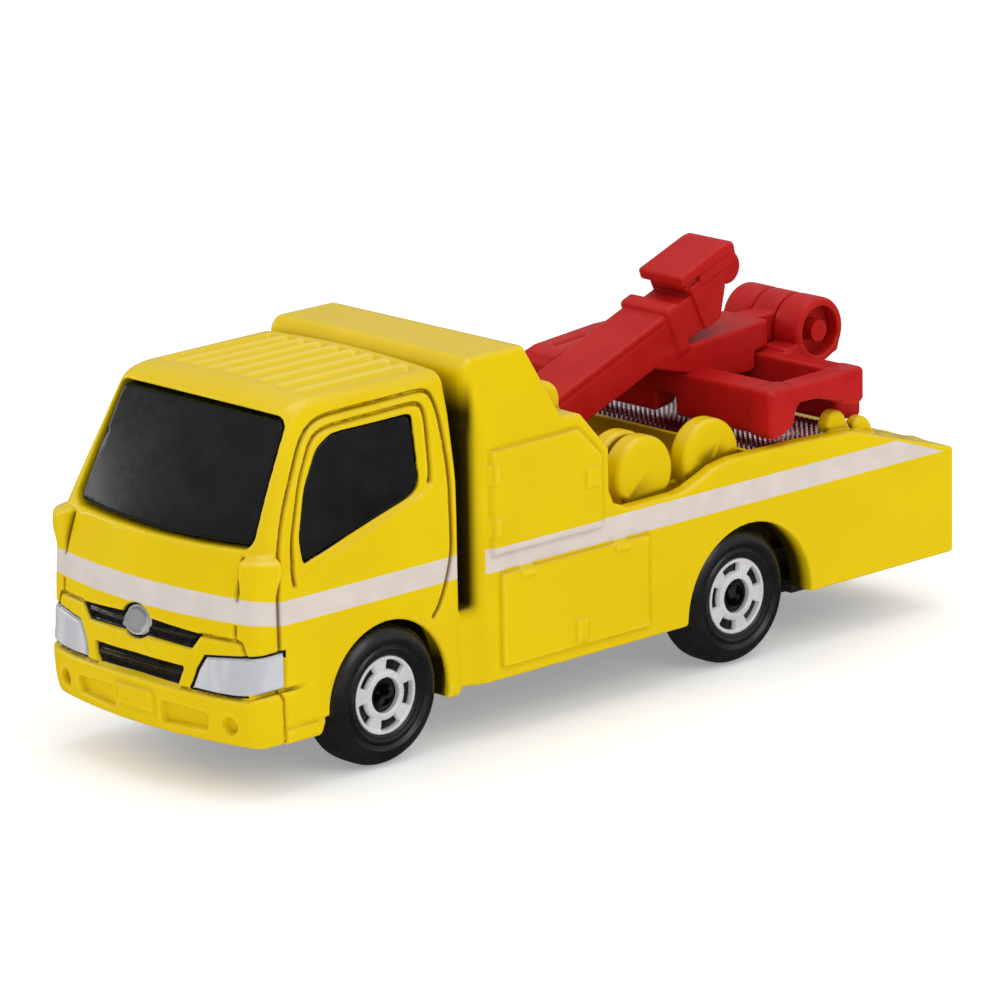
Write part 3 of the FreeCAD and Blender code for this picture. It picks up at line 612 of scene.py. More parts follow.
def stripe_mask(sh, y, z, side):
    """Band along the cab and the bed; side is |x|."""
    on_cab = sh.less(y, -14.4)
    # the cab's stripe lifts slightly round the nose
    lifted = sh.sub(z, sh.mul(sh.fade(y, -32.2, -34.8), 0.42))
    cab = sh.mul(sh.inside(sh.band(lifted, 12.78, STRIPE_TOP)), on_cab)
    outer_faces = sh.more(sh.max(sh.sub(side, 9.0), sh.sub(-30.0, y)), 0.0)
    cab = sh.mul(cab, outer_faces)
    # the bed's stripe starts behind the cab and ends along the slope of the tail
    tail_slope = 0.3448
    tail_limit = STRIPE_TOP + 30.7 * tail_slope
    bed = sh.band(z, 12.73, STRIPE_TOP)
    bed = sh.max(bed, sh.sub(-12.9, y))
    bed = sh.max(bed, sh.sub(sh.add(z, sh.mul(y, tail_slope)), tail_limit))
    bed = sh.max(bed, sh.sub(y, TAIL - 0.35))
    bed = sh.mul(sh.inside(bed), sh.more(side, HALF_WIDTH - 0.35))
    return sh.max(cab, bed)


def shadow_mask(sh, y, z, side):
    """Slot behind the cab, and the wheel arches from just inside their edge."""
    slot = sh.mul(sh.mul(sh.fade(y, -15.16, -15.02), sh.fade(y, -13.0, -13.6)),
                  sh.fade(side, 11.6, 10.7))
    slot = sh.mul(slot, sh.mul(sh.fade(z, 9.3, 10.5), sh.fade(z, 27.9, 24.6)))
    front = sh.radius(sh.add(y, -FRONT_ARCH[0]), sh.sub(z, FRONT_ARCH[1]))
    rear = sh.radius(sh.sub(y, REAR_ARCH[0]), sh.sub(z, REAR_ARCH[1]))
    arches = sh.max(sh.mul(sh.fade(front, 6.45, 6.25), sh.fade(side, 11.1, 10.1)),
                    sh.mul(sh.fade(rear, 7.2, 7.0), sh.fade(side, 11.6, 10.3)))
    deep = sh.mul(sh.fade(sh.min(sh.add(front, 0.6), rear), 9.2, 8.8),
                  sh.mul(sh.fade(side, 9.5, 9.0), sh.fade(z, 11.8, 11.4)))
    return sh.max(sh.max(slot, deep), arches)


def paint_roof(sh, color, x, y, z, side):
    """Painted shade in the grooves of the roof ribs and a painted highlight on their crests."""
    wave = sh.math("COSINE", sh.mul(x, 2 * math.pi / ROOF_RIB_PITCH))
    on_roof = sh.mul(sh.mul(sh.fade(side, 8.3, 7.9), sh.fade(z, 27.2, 27.7)),
                     sh.mul(sh.fade(y, -27.0, -26.3), sh.fade(y, -15.7, -16.3)))
    color = sh.mix(sh.mul(on_roof, sh.fade(wave, 0.1, 0.8)), color, RIB_GROOVE_SHADE)
    return sh.mix(sh.mul(on_roof, sh.fade(wave, -0.2, -0.9, high=0.85)), color, RIB_CREST_HIGHLIGHT)


def window_wall_shade_mask(sh, y, z, side):
    # where the window outlines fall on the casting: the walls of the openings, painted near black
    # as shade in the recess round the panes
    screen = sh.max(sh.outline(side, z, PAINTED_SCREEN, ease=1.3), sh.add(y, 26.4))
    pane = sh.max(sh.outline(y, z, SIDE_GLASS, ease=0.7), sh.sub(8.0, side))
    return sh.inside(sh.add(sh.min(screen, pane), -0.03))


def paint_nose(sh, color, x, y, z, side, fine):
    """Black grilles, silver lamps and the round badge; gives the colour and lamp mask."""
    on_nose = sh.less(y, -30.0)
    upper = sh.outline(side, z, [(0, 12.32)] + UPPER_GRILLE + [(-1, 11.02), (-1, 12.33)])
    lower = sh.outline(side, z, [(-1, 9.5)] + LOWER_GRILLE + [(-1, 8.02)])
    badge_x = sh.math("DIVIDE", x, BADGE_HALF[0])
    badge_z = sh.math("DIVIDE", sh.sub(z, BADGE_Z), BADGE_HALF[1])
    badge = sh.math("SQRT", sh.add(sh.mul(badge_x, badge_x), sh.mul(badge_z, badge_z)))
    black_shape = sh.min(sh.min(upper, lower), sh.sub(badge, 1.0))
    lamp = sh.outline(side, z, PAINTED_LAMP)
    lamp = sh.max(lamp, sh.sub(y, LAMP_REAR))
    # black rim of the lamp, left off at its outer end
    outer_end = sh.mul(sh.more(side, 10.6), sh.less(z, 10.4))
    rim = sh.mul(sh.inside(sh.sub(lamp, 0.20)), sh.sub(1.0, outer_end))
    black = sh.mul(sh.max(sh.inside(black_shape), rim), on_nose)
    color = sh.mix(black, color, sh.mottle(fine, GRILLE_BLACK))
    silver = sh.mul(sh.inside(lamp), on_nose)
    streaks = sh.noise(scale=0.9, detail=2.0, vector=sh.stretch((1.0, 0.2, 0.15)))
    color = sh.mix(silver, color, sh.mottle(streaks, LAMP_SILVER, 0.35, 0.65))
    for limit, tone in ((0.86, BADGE_RING), (0.70, BADGE_FACE)):
        disc = sh.mul(sh.mul(sh.less(badge, limit), on_nose), 1.0)
        color = sh.mix(disc, color, tone)
    return color, silver


def enamel():
    sh = Shader("yellow_enamel")
    x, y, z = sh.split(sh.position)
    side = sh.math("ABSOLUTE", x)
    fine = sh.noise(scale=2.2, detail=4.0)
    color = sh.mottle(sh.noise(scale=0.12, detail=2.0), YELLOW)
    patches = sh.fade(sh.noise(scale=0.9), 0.25, 0.75, low=0.35)
    # convex edges lightened, broken up by noise patches: partly wear, partly a painted highlight
    edge_wear_and_highlight = sh.mul(sh.fade(sh.attribute("edge"), 0.05, 0.30), patches)
    color = sh.mix(sh.mul(edge_wear_and_highlight, 0.30), color, EDGE_WEAR_AND_HIGHLIGHT)
    stripe = stripe_mask(sh, y, z, side)
    color = sh.mix(stripe, color, sh.mottle(sh.noise(scale=0.5), STRIPE))
    # painted shade: closed-in places turn dark brown
    crevice = sh.fade(sh.attribute("crev"), 0.15, 0.68, high=0.88)
    color = sh.mix(crevice, color, CREVICE_SHADE_YELLOW)
    color = paint_roof(sh, color, x, y, z, side)
    shadow = shadow_mask(sh, y, z, side)
    color = sh.mix(sh.mul(shadow, 0.97), color, DEEP_SHADOW)
    # painted shade: the walls of the window openings go near black
    window_wall_shade = window_wall_shade_mask(sh, y, z, side)
    color = sh.mix(window_wall_shade, color, WINDOW_WALL_SHADE)
    color, silver = paint_nose(sh, color, x, y, z, side, fine)
    # edges lightened as wear and painted highlight, the print and the window walls painted black
    # are duller
    rough = sh.add(sh.fade(fine, 0.2, 0.8, low=0.22, high=0.28), sh.mul(edge_wear_and_highlight, 0.05))
    rough = sh.add(rough, sh.mul(sh.max(stripe, window_wall_shade), 0.14))
    grain = sh.add(sh.mul(sh.noise(scale=0.8, detail=2.0), 0.8), sh.mul(fine, 0.2))
    lit = sh.sub(1.0, sh.mul(shadow, 0.9))
    sh.set(color=color, rough=rough, metal=sh.mul(silver, 0.06), coat=0.0, coat_rough=0.12,
           specular=sh.mul(sh.facing_up(low=0.09, high=0.60), lit),
           normal=sh.bump(grain, strength=0.045, distance=0.00005))
    return sh.material


# ---- plastics and metals ---------------------------------------------------------


def plastic(name, tones, rough, bump, grain, coat=0.0, specular=0.5, edge_wear_highlight_tone=None,
            crevice_shade_tone=None, crevice=0.0, rub=None, side_specular=None):
    """Moulded plastic: rough is its range, grain the noise scale, crevice the strength of the
    painted shade in crevices; edges take a lighter tone, partly worn and partly a painted
    highlight.
    """
    sh = Shader(name)
    color = sh.mottle(sh.noise(scale=0.35), tones)
    fine = sh.noise(scale=grain, detail=4.0)
    if edge_wear_highlight_tone is not None:
        # convex edges lightened, partly wear and partly a painted highlight; closed-in places get
        # painted shade
        edge_wear_and_highlight = sh.mul(sh.fade(sh.attribute("edge"), 0.06, 0.32), sh.fade(fine, 0.25, 0.8))
        color = sh.mix(sh.mul(edge_wear_and_highlight, 0.45), color, edge_wear_highlight_tone)
        crevice_shade_amount = sh.fade(sh.attribute("crev"), 0.2, 0.9, high=crevice)
        color = sh.mix(crevice_shade_amount, color, crevice_shade_tone)
    if rub is not None:
        color = sh.mix(sh.mul(sh.rubbed(fine), 0.6), color, rub)
    if side_specular is not None:
        specular = sh.facing_up(low=side_specular, high=specular)
    sh.set(color=color, rough=sh.fade(fine, 0.2, 0.8, *rough), coat=coat, coat_rough=0.2,
           specular=specular, normal=sh.bump(fine, strength=bump, distance=0.00005))
    return sh.material


def metal(name, tones, rough, streak, bump=0.05, shine=1.0, rub=(0.86, 0.86, 0.86), ends=None):
    """Metal: streak stretches its grain; beyond |x| = ends it is painted dark, as shade in the
    bores.
    """
    sh = Shader(name)
    fine = sh.noise(scale=0.5, detail=4.0, rough=0.6, vector=sh.stretch(streak))
    base = sh.mottle(sh.noise(scale=0.6), tones)
    color = sh.mix(sh.mul(sh.rubbed(fine), 0.5), base, rub)
    if ends is not None:
        # painted shadow: the cut ends sit deep in their bores and are painted dark, except for a
        # noisy spot where the painted shadow is weaker
        unshaded_spot = sh.fade(sh.noise(scale=0.9, detail=1.0), 0.56, 0.66, high=0.55)
        side = sh.math("ABSOLUTE", sh.split(sh.position)[0])
        shade = sh.mul(sh.fade(side, ends - 0.35, ends - 0.15), sh.sub(1.0, unshaded_spot))
        color = sh.mix(shade, color, (0.02, 0.02, 0.02))
    sh.set(color=color, metal=shine, rough=sh.fade(fine, 0.25, 0.75, *rough),
           normal=sh.bump(fine, strength=bump, distance=0.00003))
    return sh.material


MATERIALS = {
    "paint": enamel(),
    "glass": plastic("black_window_moulding", ((0.007, 0.007, 0.008), (0.012, 0.012, 0.013)),
                     rough=(0.17, 0.24), bump=0.03, grain=1.5, specular=0.20,
                     edge_wear_highlight_tone=(0.02, 0.02, 0.022), crevice_shade_tone=(0.002, 0.002, 0.002),
                     crevice=0.5),
    "red": plastic("red_moulding", ((0.44, 0.008, 0.007), (0.49, 0.012, 0.010)),
                   rough=(0.32, 0.42), bump=0.06, grain=2.0, coat=0.03, specular=0.19,
                   edge_wear_highlight_tone=(0.62, 0.045, 0.035), crevice_shade_tone=(0.10, 0.002, 0.002),
                   crevice=0.6, side_specular=0.08),
    "base": plastic("black_base_moulding", ((0.012, 0.012, 0.013), (0.02, 0.02, 0.021)),
                    rough=(0.42, 0.56), bump=0.25, grain=5.0, rub=(0.05, 0.05, 0.052)),
    "tyre": plastic("black_wheel_moulding", ((0.008, 0.008, 0.009), (0.014, 0.014, 0.015)),
                    rough=(0.24, 0.34), bump=0.06, grain=2.5, coat=0.1, specular=0.6,
                    rub=(0.04, 0.04, 0.04)),
    "hub": metal("bright_hub_foil", ((0.74, 0.72, 0.74), (0.84, 0.82, 0.84)),
                 rough=(0.18, 0.30), streak=(6, 6, 6), shine=0.25, rub=(0.95, 0.94, 0.95)),
    "steel": metal("steel_wire", ((0.48, 0.48, 0.49), (0.60, 0.60, 0.61)),
                   rough=(0.25, 0.42), streak=(0.6, 12, 12), ends=AXLE_END),
    "pin": metal("pin_steel", ((0.42, 0.42, 0.43), (0.55, 0.55, 0.56)),
                 rough=(0.28, 0.4), streak=(1, 9, 9)),
    "rivet": metal("rivet_metal", ((0.50, 0.50, 0.50), (0.62, 0.62, 0.62)),
                   rough=(0.3, 0.45), streak=(5, 5, 5), bump=0.15),
    "plate": metal("bright_knurled_plate", ((0.42, 0.38, 0.40), (0.62, 0.58, 0.60)),
                   rough=(0.16, 0.28), streak=(4, 4, 4)),
}

# ---- cab shape -------------------------------------------------------------------
# Stations of the cab's front on the centre line: heights z, and y at each
FRONT_STATIONS = (
    [2, 4.0, 4.6, 5.4, 7.5, 7.8, 8.2, 9.3, 12, 12.7, 14.6, 18.1, 27.1, 27.9, 28.6],
    [-35.7, -36.25, -36.5, -36.72, -36.88, -36.86, -36.72, -36.65, -36.6, -36.5, -36.15,
     -34.85, -29.85, -29.2, -28.0])


def smoothed_front():
    """Finely stepped heights, with y of the front blurred over its stations."""
    heights = np.linspace(2, 30, 1121)
    bell = np.exp(-0.5 * (np.arange(-24, 25) / 8.0) ** 2)
    padded = np.pad(np.interp(heights, *FRONT_STATIONS), 24, "edge")
    return heights, np.convolve(padded, bell / bell.sum(), "valid")


FRONT_Z, FRONT_Y = smoothed_front()
FRONT_SLOPE = np.gradient(FRONT_Y, FRONT_Z)


def cab_half_width(y, z):
    t = np.clip((y + 31) / 16, 0, 1)
    front = np.interp(z, [0, 17.3, 18.5, 22, 27.1, 28.5], [11.36, 11.31, 11.1, 10.38, 9.36, 9.05])
    rear = np.interp(z, [0, 17.3, 20, 21.4, 25, 27.3, 28.5],
                     [11.24, 11.24, 11.2, 11.04, 10.48, 9.93, 9.58])
    return (front * (1 - t) + rear * t).astype(f32)


def cab_faces(x, y, z):
    """Distances to the cab's front, side, top and rear."""
    bow = np.interp(z, [0, 8, 9, 12, 14.6, 18, 27],
                    [1 / 82, 1 / 82, 1 / 74, 1 / 72, 1 / 88, 1 / 114, 0.00126])
    lean = np.interp(z, FRONT_Z, FRONT_SLOPE)
    foreshorten = 1 / np.sqrt(1 + lean * lean)
    front = ((np.interp(z, FRONT_Z, FRONT_Y) + bow * x * x - y) * foreshorten).astype(f32)
    side_scale = np.interp(z, [0, 18, 22, 27], [1, 0.99, 0.983, 0.97])
    side = ((x - cab_half_width(y, z)) * side_scale).astype(f32)
    top = z - (28.44 - 0.0042 * x * x)
    return front, side, top, y + 15.05


def cab_outer(x, y, z):
    front, side, top, rear = cab_faces(x, y, z)
    corner = np.interp(z, [4, 12, 14.6, 18, 27], [1.0, 0.9, 0.9, 0.95, 1.05]).astype(f32)
    shape = inter(front, side, corner)
    shape = inter(shape, top, 0.85)
    return inter(shape, rear, 0.45)


def cab_hollow(x, y, z):
    front, side, top, rear = cab_faces(x, y, z)
    wall = np.interp(z, [4, 16, 18, 27], [3.1, 2.6, 1.5, 1.45]).astype(f32)
    return np.maximum(np.maximum(front + wall, side + 1.15), np.maximum(top + 1.25, rear + 1.2))


PANE = soften(SIDE_GLASS, reach=0.55, closed=True, steps=3)
RING_RUN = soften(RING, reach=0.8)
DOOR_RUN = soften(DOOR, reach=1.1)

# ---- cab details -----------------------------------------------------------------
# Grooves on the nose: run of (|x|, z), half width, depth
NOSE_GROOVES = [
    ([(6.49, 11.95), (7.37, 11.94), (9.47, 11.89), (9.95, 11.8), (10.12, 11.38),
      (10.32, 10.75)], 0.15, 0.36),
    ([(9.30, 17.7), (9.42, 15.94), (9.44, 14.8)], 0.14, 0.34),
    ([(9.42, 12.95), (9.42, 12.0)], 0.15, 0.36),
    ([(0, 7.9), (4.7, 7.77), (7.9, 7.7), (9.65, 7.73), (10.64, 7.74), (11.08, 7.96),
      (11.5, 8.05)], 0.16, 0.36),
]


def nose_relief(x, y, z):
    relief = 0
    for run, half, depth in NOSE_GROOVES:
        relief = relief + dent(path(x, z, run), half, depth)
    # raised corner panel beside the screen foot
    panel = (ramp(x, 9.42, 9.95) * ramp(z, 18.2, 17.6)
             * np.interp(z, [14.7, 15.2, 16.6, 17.6], [0, 0.12, 0.8, 1])
             * ramp(y, -32.72, -33.1))
    relief = relief - 0.92 * panel.astype(f32)
    # bumper: recess, raised number plate with a groove round it, fog lamp hole
    recess = poly(x, z, [(2.75, 6.45), (7.2, 6.2), (6.95, 5.05), (2.6, 4.85)], 0.25)
    relief = relief + pad(recess, 0.55, 0.16)
    plate = poly(x, z, [(-1.9, 6.95), (1.9, 6.95), (1.9, 5.35), (-1.9, 5.35)], 0.2)
    relief = relief - pad(plate, 0.20, 0.10)
    groove = poly(x, z, [(-2.05, 7.1), (2.05, 7.1), (2.05, 5.2), (-2.05, 5.2)], 0.2)
    relief = relief + dent(np.abs(groove), 0.1, 0.12)
    relief = relief + pad(rod(x, z, (9.05, 5.65), 0.6), 0.6, 0.12)
    # grilles and the badge's bed, sunk together; a bar across each grille
    upper = poly(x, z, [(-3, 12.33)] + UPPER_GRILLE + [(-3, 11.02)], 0.1)
    lower = poly(x, z, [(-3, 9.5)] + LOWER_GRILLE + [(-3, 8.02)], 0.1)
    bed = (np.hypot(x / BADGE_HALF[0], (z - BADGE_Z) / BADGE_HALF[1]) - 1) * 1.35
    relief = relief + pad(np.minimum(np.minimum(upper, lower), bed), 0.42, 0.11)
    relief = relief - pad(np.maximum(slab(z, 11.36, 11.62), upper + 0.25), 0.22, 0.10)
    lower_bar = np.maximum(slab(z + 0.02 * x, 8.55, 8.88), lower + 0.12)
    relief = relief - pad(lower_bar, 0.30, 0.10)
    # blank round badge with a raised rim
    badge = np.hypot(x / 1.22, (z - (BADGE_Z - 0.10)) / 0.98)
    relief = relief - 0.50 * ramp(badge, 1.04, 0.90) + 0.14 * ramp(badge, 0.88, 0.74)
    # groove round the lamp, and its slightly raised face
    lamp = np.maximum(poly(x, z, LAMP, 0.25), y - LAMP_REAR)
    relief = relief + dent(np.abs(lamp - 0.06), 0.13, 0.26)
    relief = relief - pad(lamp + 0.25, 0.10, 0.25)
    return relief * ramp(y, -29.5, -31.5)


def roof_relief(x, y, z):
    rib = 0.5 + 0.5 * np.cos(x * f32(2 * math.pi / ROOF_RIB_PITCH))
    return (0.42 * rib * ramp(np.abs(x), 8.35, 7.9) * ramp(y, -27.1, -26.4)
            * ramp(y, -15.75, -16.3) * ramp(z, 27.0, 27.6))


def cab_side_relief(x, y, z):
    relief = dent(path(y, z, DOOR_RUN), 0.17, 0.42)
    relief = relief + dent(path(y, z, RING_RUN), 0.18, 0.44)
    relief = relief + dent(path(y, z, RING_LOW), 0.28, 0.16)
    relief = relief + pad(poly(y, z, PANE) - 0.42, 0.20, 0.36)
    # step along the front skirt, and the groove ahead of it
    step = path(y, z, [(-32.3, 5.12), (-28.3, 5.12)])
    relief = relief + dent(step, 0.13, 0.16) * ramp(y, -32.5, -32.2)
    relief = relief - 0.10 * (ramp(z, 5.1, 4.95) * ramp(y, -32.5, -32.3))
    seam = path(y, z, [(-32.75, 7.9), (-32.42, 7.3), (-32.35, 4.4), (-32.35, 3.6)])
    relief = relief + dent(seam, 0.13, 0.30)
    # small round boss, then the wheel arch lip above z = 5
    relief = relief - pad(rod(y, z, (-28.4, 7.91), 0.45), 0.14, 0.25)
    lip = np.abs(rod(y, z, FRONT_ARCH, 6.5)) * (z > 5.0) + 9 * (z <= 5.0)
    relief = relief - dent(lip, 0.45, 0.10)
    return relief * ramp(x, 7.6, 8.6)


# ---- toolbox and bed -------------------------------------------------------------
BED_FRONT = -13.87
SHOULDER_Z = 22.85                # above this the toolbox sides lean in
WELL_HALF = HALF_WIDTH - 1.4
# Side view of toolbox and bed, (y, z)
BED_SIDE = [(BED_FRONT, 4.36), (TAIL + 0.35, 4.36), (TAIL + 0.35, 12.84), (31.1, 14.62),
            (26.0, 16.21), (20.0, 16.45), (12.9, 16.49), (11.0, 16.2), (9.4, 15.55),
            (8.1, 15.06), (7.0, 14.9), (1.9, 14.86), (0.3, 15.5), (-0.2, 16.6),
            (-0.2, 19.85), (-3.05, 22.98), (-4.95, 23.12), (-7.55, ROOF), (BED_FRONT, ROOF)]
UPPER_DOOR = [(-12.3, 14.0), (-12.3, 21.8), (-3.45, 21.9), (-1.12, 19.55), (-1.12, 14.0)]
LOWER_DOOR = [(-11.45, 5.35), (-11.45, 12.45), (3.66, 12.45), (3.66, 5.35)]
# Small raised blocks at the edges of those doors: centre (y, z), half size
DOOR_BLOCKS = [((-12.15, 20.05), (0.5, 0.75)), ((-12.05, 16.1), (0.5, 0.75)),
               ((-2.25, 18.1), (0.75, 0.8)), ((-8.95, 12.25), (0.75, 0.42)),
               ((0.7, 12.25), (0.75, 0.42)), ((-3.55, 6.6), (0.65, 0.95))]
TOOLBOX_HOLLOW = [(-12.7, 3), (-12.7, 27.3), (-9.6, 27.3), (-7.2, 21.6), (-1.6, 19.0),
                  (-1.6, 3)]


def bed_solid(x, y, z):
    outline = poly(y, z, BED_SIDE, 0.25)
    leaning = (x - (f32(HALF_WIDTH) - 0.2243 * (z - SHOULDER_Z))) * 0.976
    side = np.where(z > SHOULDER_Z, leaning, x - f32(HALF_WIDTH))
    # the front corner is cut back, most at the toolbox
    setback = np.interp(z, [24.5, 27.5], [0.95, 0.35]).astype(f32)
    bevel = (side + (BED_FRONT - y) + setback) * 0.7071
    shape = inter(outline, side, 0.38)
    shape = inter(shape, bevel, 0.35)
    top_front = ((z - f32(ROOF)) + (BED_FRONT - y) + 0.75) * 0.7071
    return inter(shape, top_front, 0.3)


def toolbox_step(x, y, z):
    """Rounded block between the slopes at the back of the toolbox."""
    shape = inter(slab(x, -9.6, 9.6), inter(y + 2.95, z - 25.25, 1.5), 0.6)
    return np.maximum(shape, 22.0 - z)


def sill(x, y, z):
    flat = inter(slab(x, -11.17, 11.17), slab(y, -17.6, -12.8), 0.5)
    return inter(flat, slab(z, 4.36, 10.3), 0.35)


def bed_side_relief(x, y, z):
    upper = poly(y, z, UPPER_DOOR, 0.2)
    lower = poly(y, z, LOWER_DOOR, 0.2)
    relief = -pad(upper, 0.22, 0.13) - pad(lower, 0.22, 0.13)
    relief = relief + dent(np.abs(upper - 0.12), 0.15, 0.15)
    relief = relief + dent(np.abs(lower - 0.12), 0.15, 0.15)
    for centre, half in DOOR_BLOCKS:
        relief = relief - pad(poly(y, z, rect(centre, half), 0.2), 0.26, 0.13)
    return relief * ramp(x, 10.7, 11.3)


def well(x, y, z):
    flat = inter(slab(x, -WELL_HALF, WELL_HALF), slab(y, -0.3, 15.6), 0.4)
    return inter(flat, 12.0 - z, 0.3)


def deck(x, y, z):
    flat = inter(slab(x, -WELL_HALF, WELL_HALF), slab(y, 15.5, 27.35), 0.3)
    return inter(flat, 16.0 - z, 0.12)


def deck_lip(x, y, z):
    return brick(x, y, z, (-WELL_HALF - 0.2, 15.5, 15.2), (WELL_HALF + 0.2, 15.97, 16.42), 0.14)


def tail_relief(x, y, z):
    """Uneven surface on the slope of the tail."""
    waves = np.sin(x * 1.1 + y * 0.9) * np.sin(y * 0.75 - x * 0.35)
    waves = waves + 0.6 * np.sin(x * 2.3 + 1) * np.sin(y * 1.9 + 2)
    return (-0.09 * (waves + 0.8) * ramp(x, 11.2, 10.2) * ramp(y, 27.0, 28.0)
            * ramp(y, 36.6, 36.0) * ramp(z, 12.2, 12.6))


def add_dolly_wheels(bed):
    """Spare wheels cast in the well, each on a foot."""
    for centre, inner, outer in ((5.0, 8.4, 10.3), (12.05, 8.4, 10.3), (5.0, 6.3, 8.05)):
        def wheel(x, y, z):
            disc = across(rod(y, z, (centre, 16.55), 2.92), x, inner, outer, 0.5)
            lo, hi = (inner, centre - 2.2, 11.6), (outer, centre + 2.2, 16.5)
            return union(disc, brick(x, y, z, lo, hi, 0.3))
        bed.add((5.6, centre - 3.2, 11), (11.2, centre + 3.2, 20), wheel, 0.12)


def add_wall_lugs(bed):
    """Two rounded lugs beside the side wall, near the tail."""
    radius = 1.02
    for at_y, at_z, foot_z in ((25.3, 16.75, 15.5), (28.1, 15.75, 14.5)):
        def lug(x, y, z):
            head = across(rod(y, z, (at_y, at_z), radius), x, 9.4, 10.6, 0.4)
            outline = [(at_y - radius, at_z), (at_y - radius, foot_z),
                       (at_y + radius + 0.9, foot_z), (at_y + radius * 0.75, at_z + 0.55)]
            return union(head, across(poly(y, z, outline), x, 9.4, 10.6, 0.25), 0.2)
        bed.add((8.8, at_y - 2, 14.4), (11.4, at_y + 3, 18.4), lug, 0.15)


def pin_ear(x, y, z):
    """Ear that carries the boom pin."""
    head = across(rod(y, z, BOOM_PIN, 1.7), x, 2.55, 3.5, 0.2)
    return union(head, brick(x, y, z, (2.55, 2.5, 11.6), (3.5, 5.9, 16.2), 0.15))


def rear_hollow(x, y, z):
    """The wall stays thick behind the rear wheel, so that the arch has depth."""
    return np.minimum(brick(x, y, z, (-9.35, 16.4, 2), (9.35, 30.9, 13.6), 0.2),
                      brick(x, y, z, (-10.5, 22.4, 2), (10.5, 30.9, 13.6), 0.2))


def hollow_bed(bed):
    """Hollows from below, from the toolbox to the tail."""
    bed.cut((0, -14, 3), (12, 1, 29), lambda x, y, z: np.maximum(
        slab(x, -10.5, 10.5), np.maximum(poly(y, z, TOOLBOX_HOLLOW), z - 27.3)))
    bed.cut((0, -3.4, 3), (12, 17, 12), lambda x, y, z: brick(
        x, y, z, (-10.5, -3.3, 2), (10.5, 16.5, 10.8), 0.2))
    bed.cut((0, 16.2, 3), (12, 31.5, 14), rear_hollow)
    bed.cut((0, 29, 3), (12, 36.5, 12), lambda x, y, z: brick(
        x, y, z, (-10.5, 29.8, 2), (10.5, 35.5, 11.3), 0.2))


def toolbox_and_bed(body):
    """Block of toolbox and bed on the body's lattice, and the y stations it covers."""
    bed = Block((0, -17.8, 3.2), (HALF_WIDTH + 0.5, TAIL + 0.9, ROOF + 0.5), BODY_STEP, half=True)
    rows = bed.snap_y(body)
    bed.field = bed_solid(bed.x, bed.y, bed.z)
    bed.add((0, -9, 21), (10.6, -2.4, 26.4), toolbox_step, 0.15)
    bed.add((0, -18, 3.5), (12.3, -11, 11), sill, 0.45)
    bed.sink((10.5, -13.4, 4.6), (12.4, 4.5, 22.6), bed_side_relief)
    bed.cut((0, -1.2, 11), (11.5, 16.6, 31), well, 0.25)
    bed.cut((0, 15.0, 15), (11.5, 28.5, 31), deck, 0.25)
    bed.add((0, 14.6, 15.0), (11.2, 17, 17), deck_lip, 0.05)
    bed.sink((0, 26.5, 12), (11.4, 37.2, 17.5), tail_relief)
    add_dolly_wheels(bed)
    add_wall_lugs(bed)
    bed.add((2, 1.4, 11), (4, 7, 19), pin_ear, 0.1)
    hollow_bed(bed)
    return bed, rows


# ---- body casting ----------------------------------------------------------------


def base_plate_room(x, y, z):
    return np.minimum(brick(x, y, z, (-6.9, -18.5, 2), (6.9, -12.4, 6.8)),
                      brick(x, y, z, (-9.3, -18.5, 2), (9.3, -12.4, 4.85)))


def front_arch(x, y, z):
    skirt = [(-27.95, 5.2), (-28.45, 5.1), (-29.3, 3.0), (-16.65, 3.0), (-16.65, 5.2)]
    return np.minimum(rod(y, z, FRONT_ARCH, 5.85), poly(y, z, skirt))


def rivet_post(at_y, top):
    return lambda x, y, z: inter(rod(x, y, (0, at_y), 2.0), slab(z, 4.75, top), 0.1)


def add_underside(body):
    """Rivet posts, wheel arches and their inner walls."""
    body.add((0, -34, 4), (2.6, -29, 13), rivet_post(-31.6, 12.0))
    body.add((0, -33, 10.8), (10.8, -30.2, 13), lambda x, y, z: brick(
        x, y, z, (-10.6, -32.5, 11.2), (10.6, -30.7, 12.4), 0.1))
    body.add((0, 28, 4), (2.6, 33, 13), rivet_post(30.5, 12.6))
    body.cut((6.6, -30.5, 3), (12.4, -15.6, 12), front_arch, 0.22)
    body.cut((6.6, 6.8, 3), (12.4, 22.4, 12), lambda x, y, z: rod(y, z, REAR_ARCH, 6.65), 0.25)
    for axle_y, outer in ((FRONT_AXLE_Y, 10.75), (REAR_AXLE_Y, 10.9)):
        body.cut((6.8, axle_y - 6.8, 3), (11.2, axle_y + 6.8, 12.6), lambda x, y, z: across(
            rod(y, z, (axle_y, AXLE_Z + 0.2), 6.25), x, 7.2, outer))
    # inner walls, clear of axles and springs
    body.add((5.3, -31.6, 6.2), (7.0, -15.9, 13.2), lambda x, y, z: brick(
        x, y, z, (5.8, -31.2, 6.8), (6.5, -16.4, 12.7), 0.1))
    body.add((5.3, 6.2, 6.2), (7.0, 22.6, 14.4), lambda x, y, z: brick(
        x, y, z, (5.8, 6.6, 6.8), (6.5, 22.2, 14.0), 0.1))


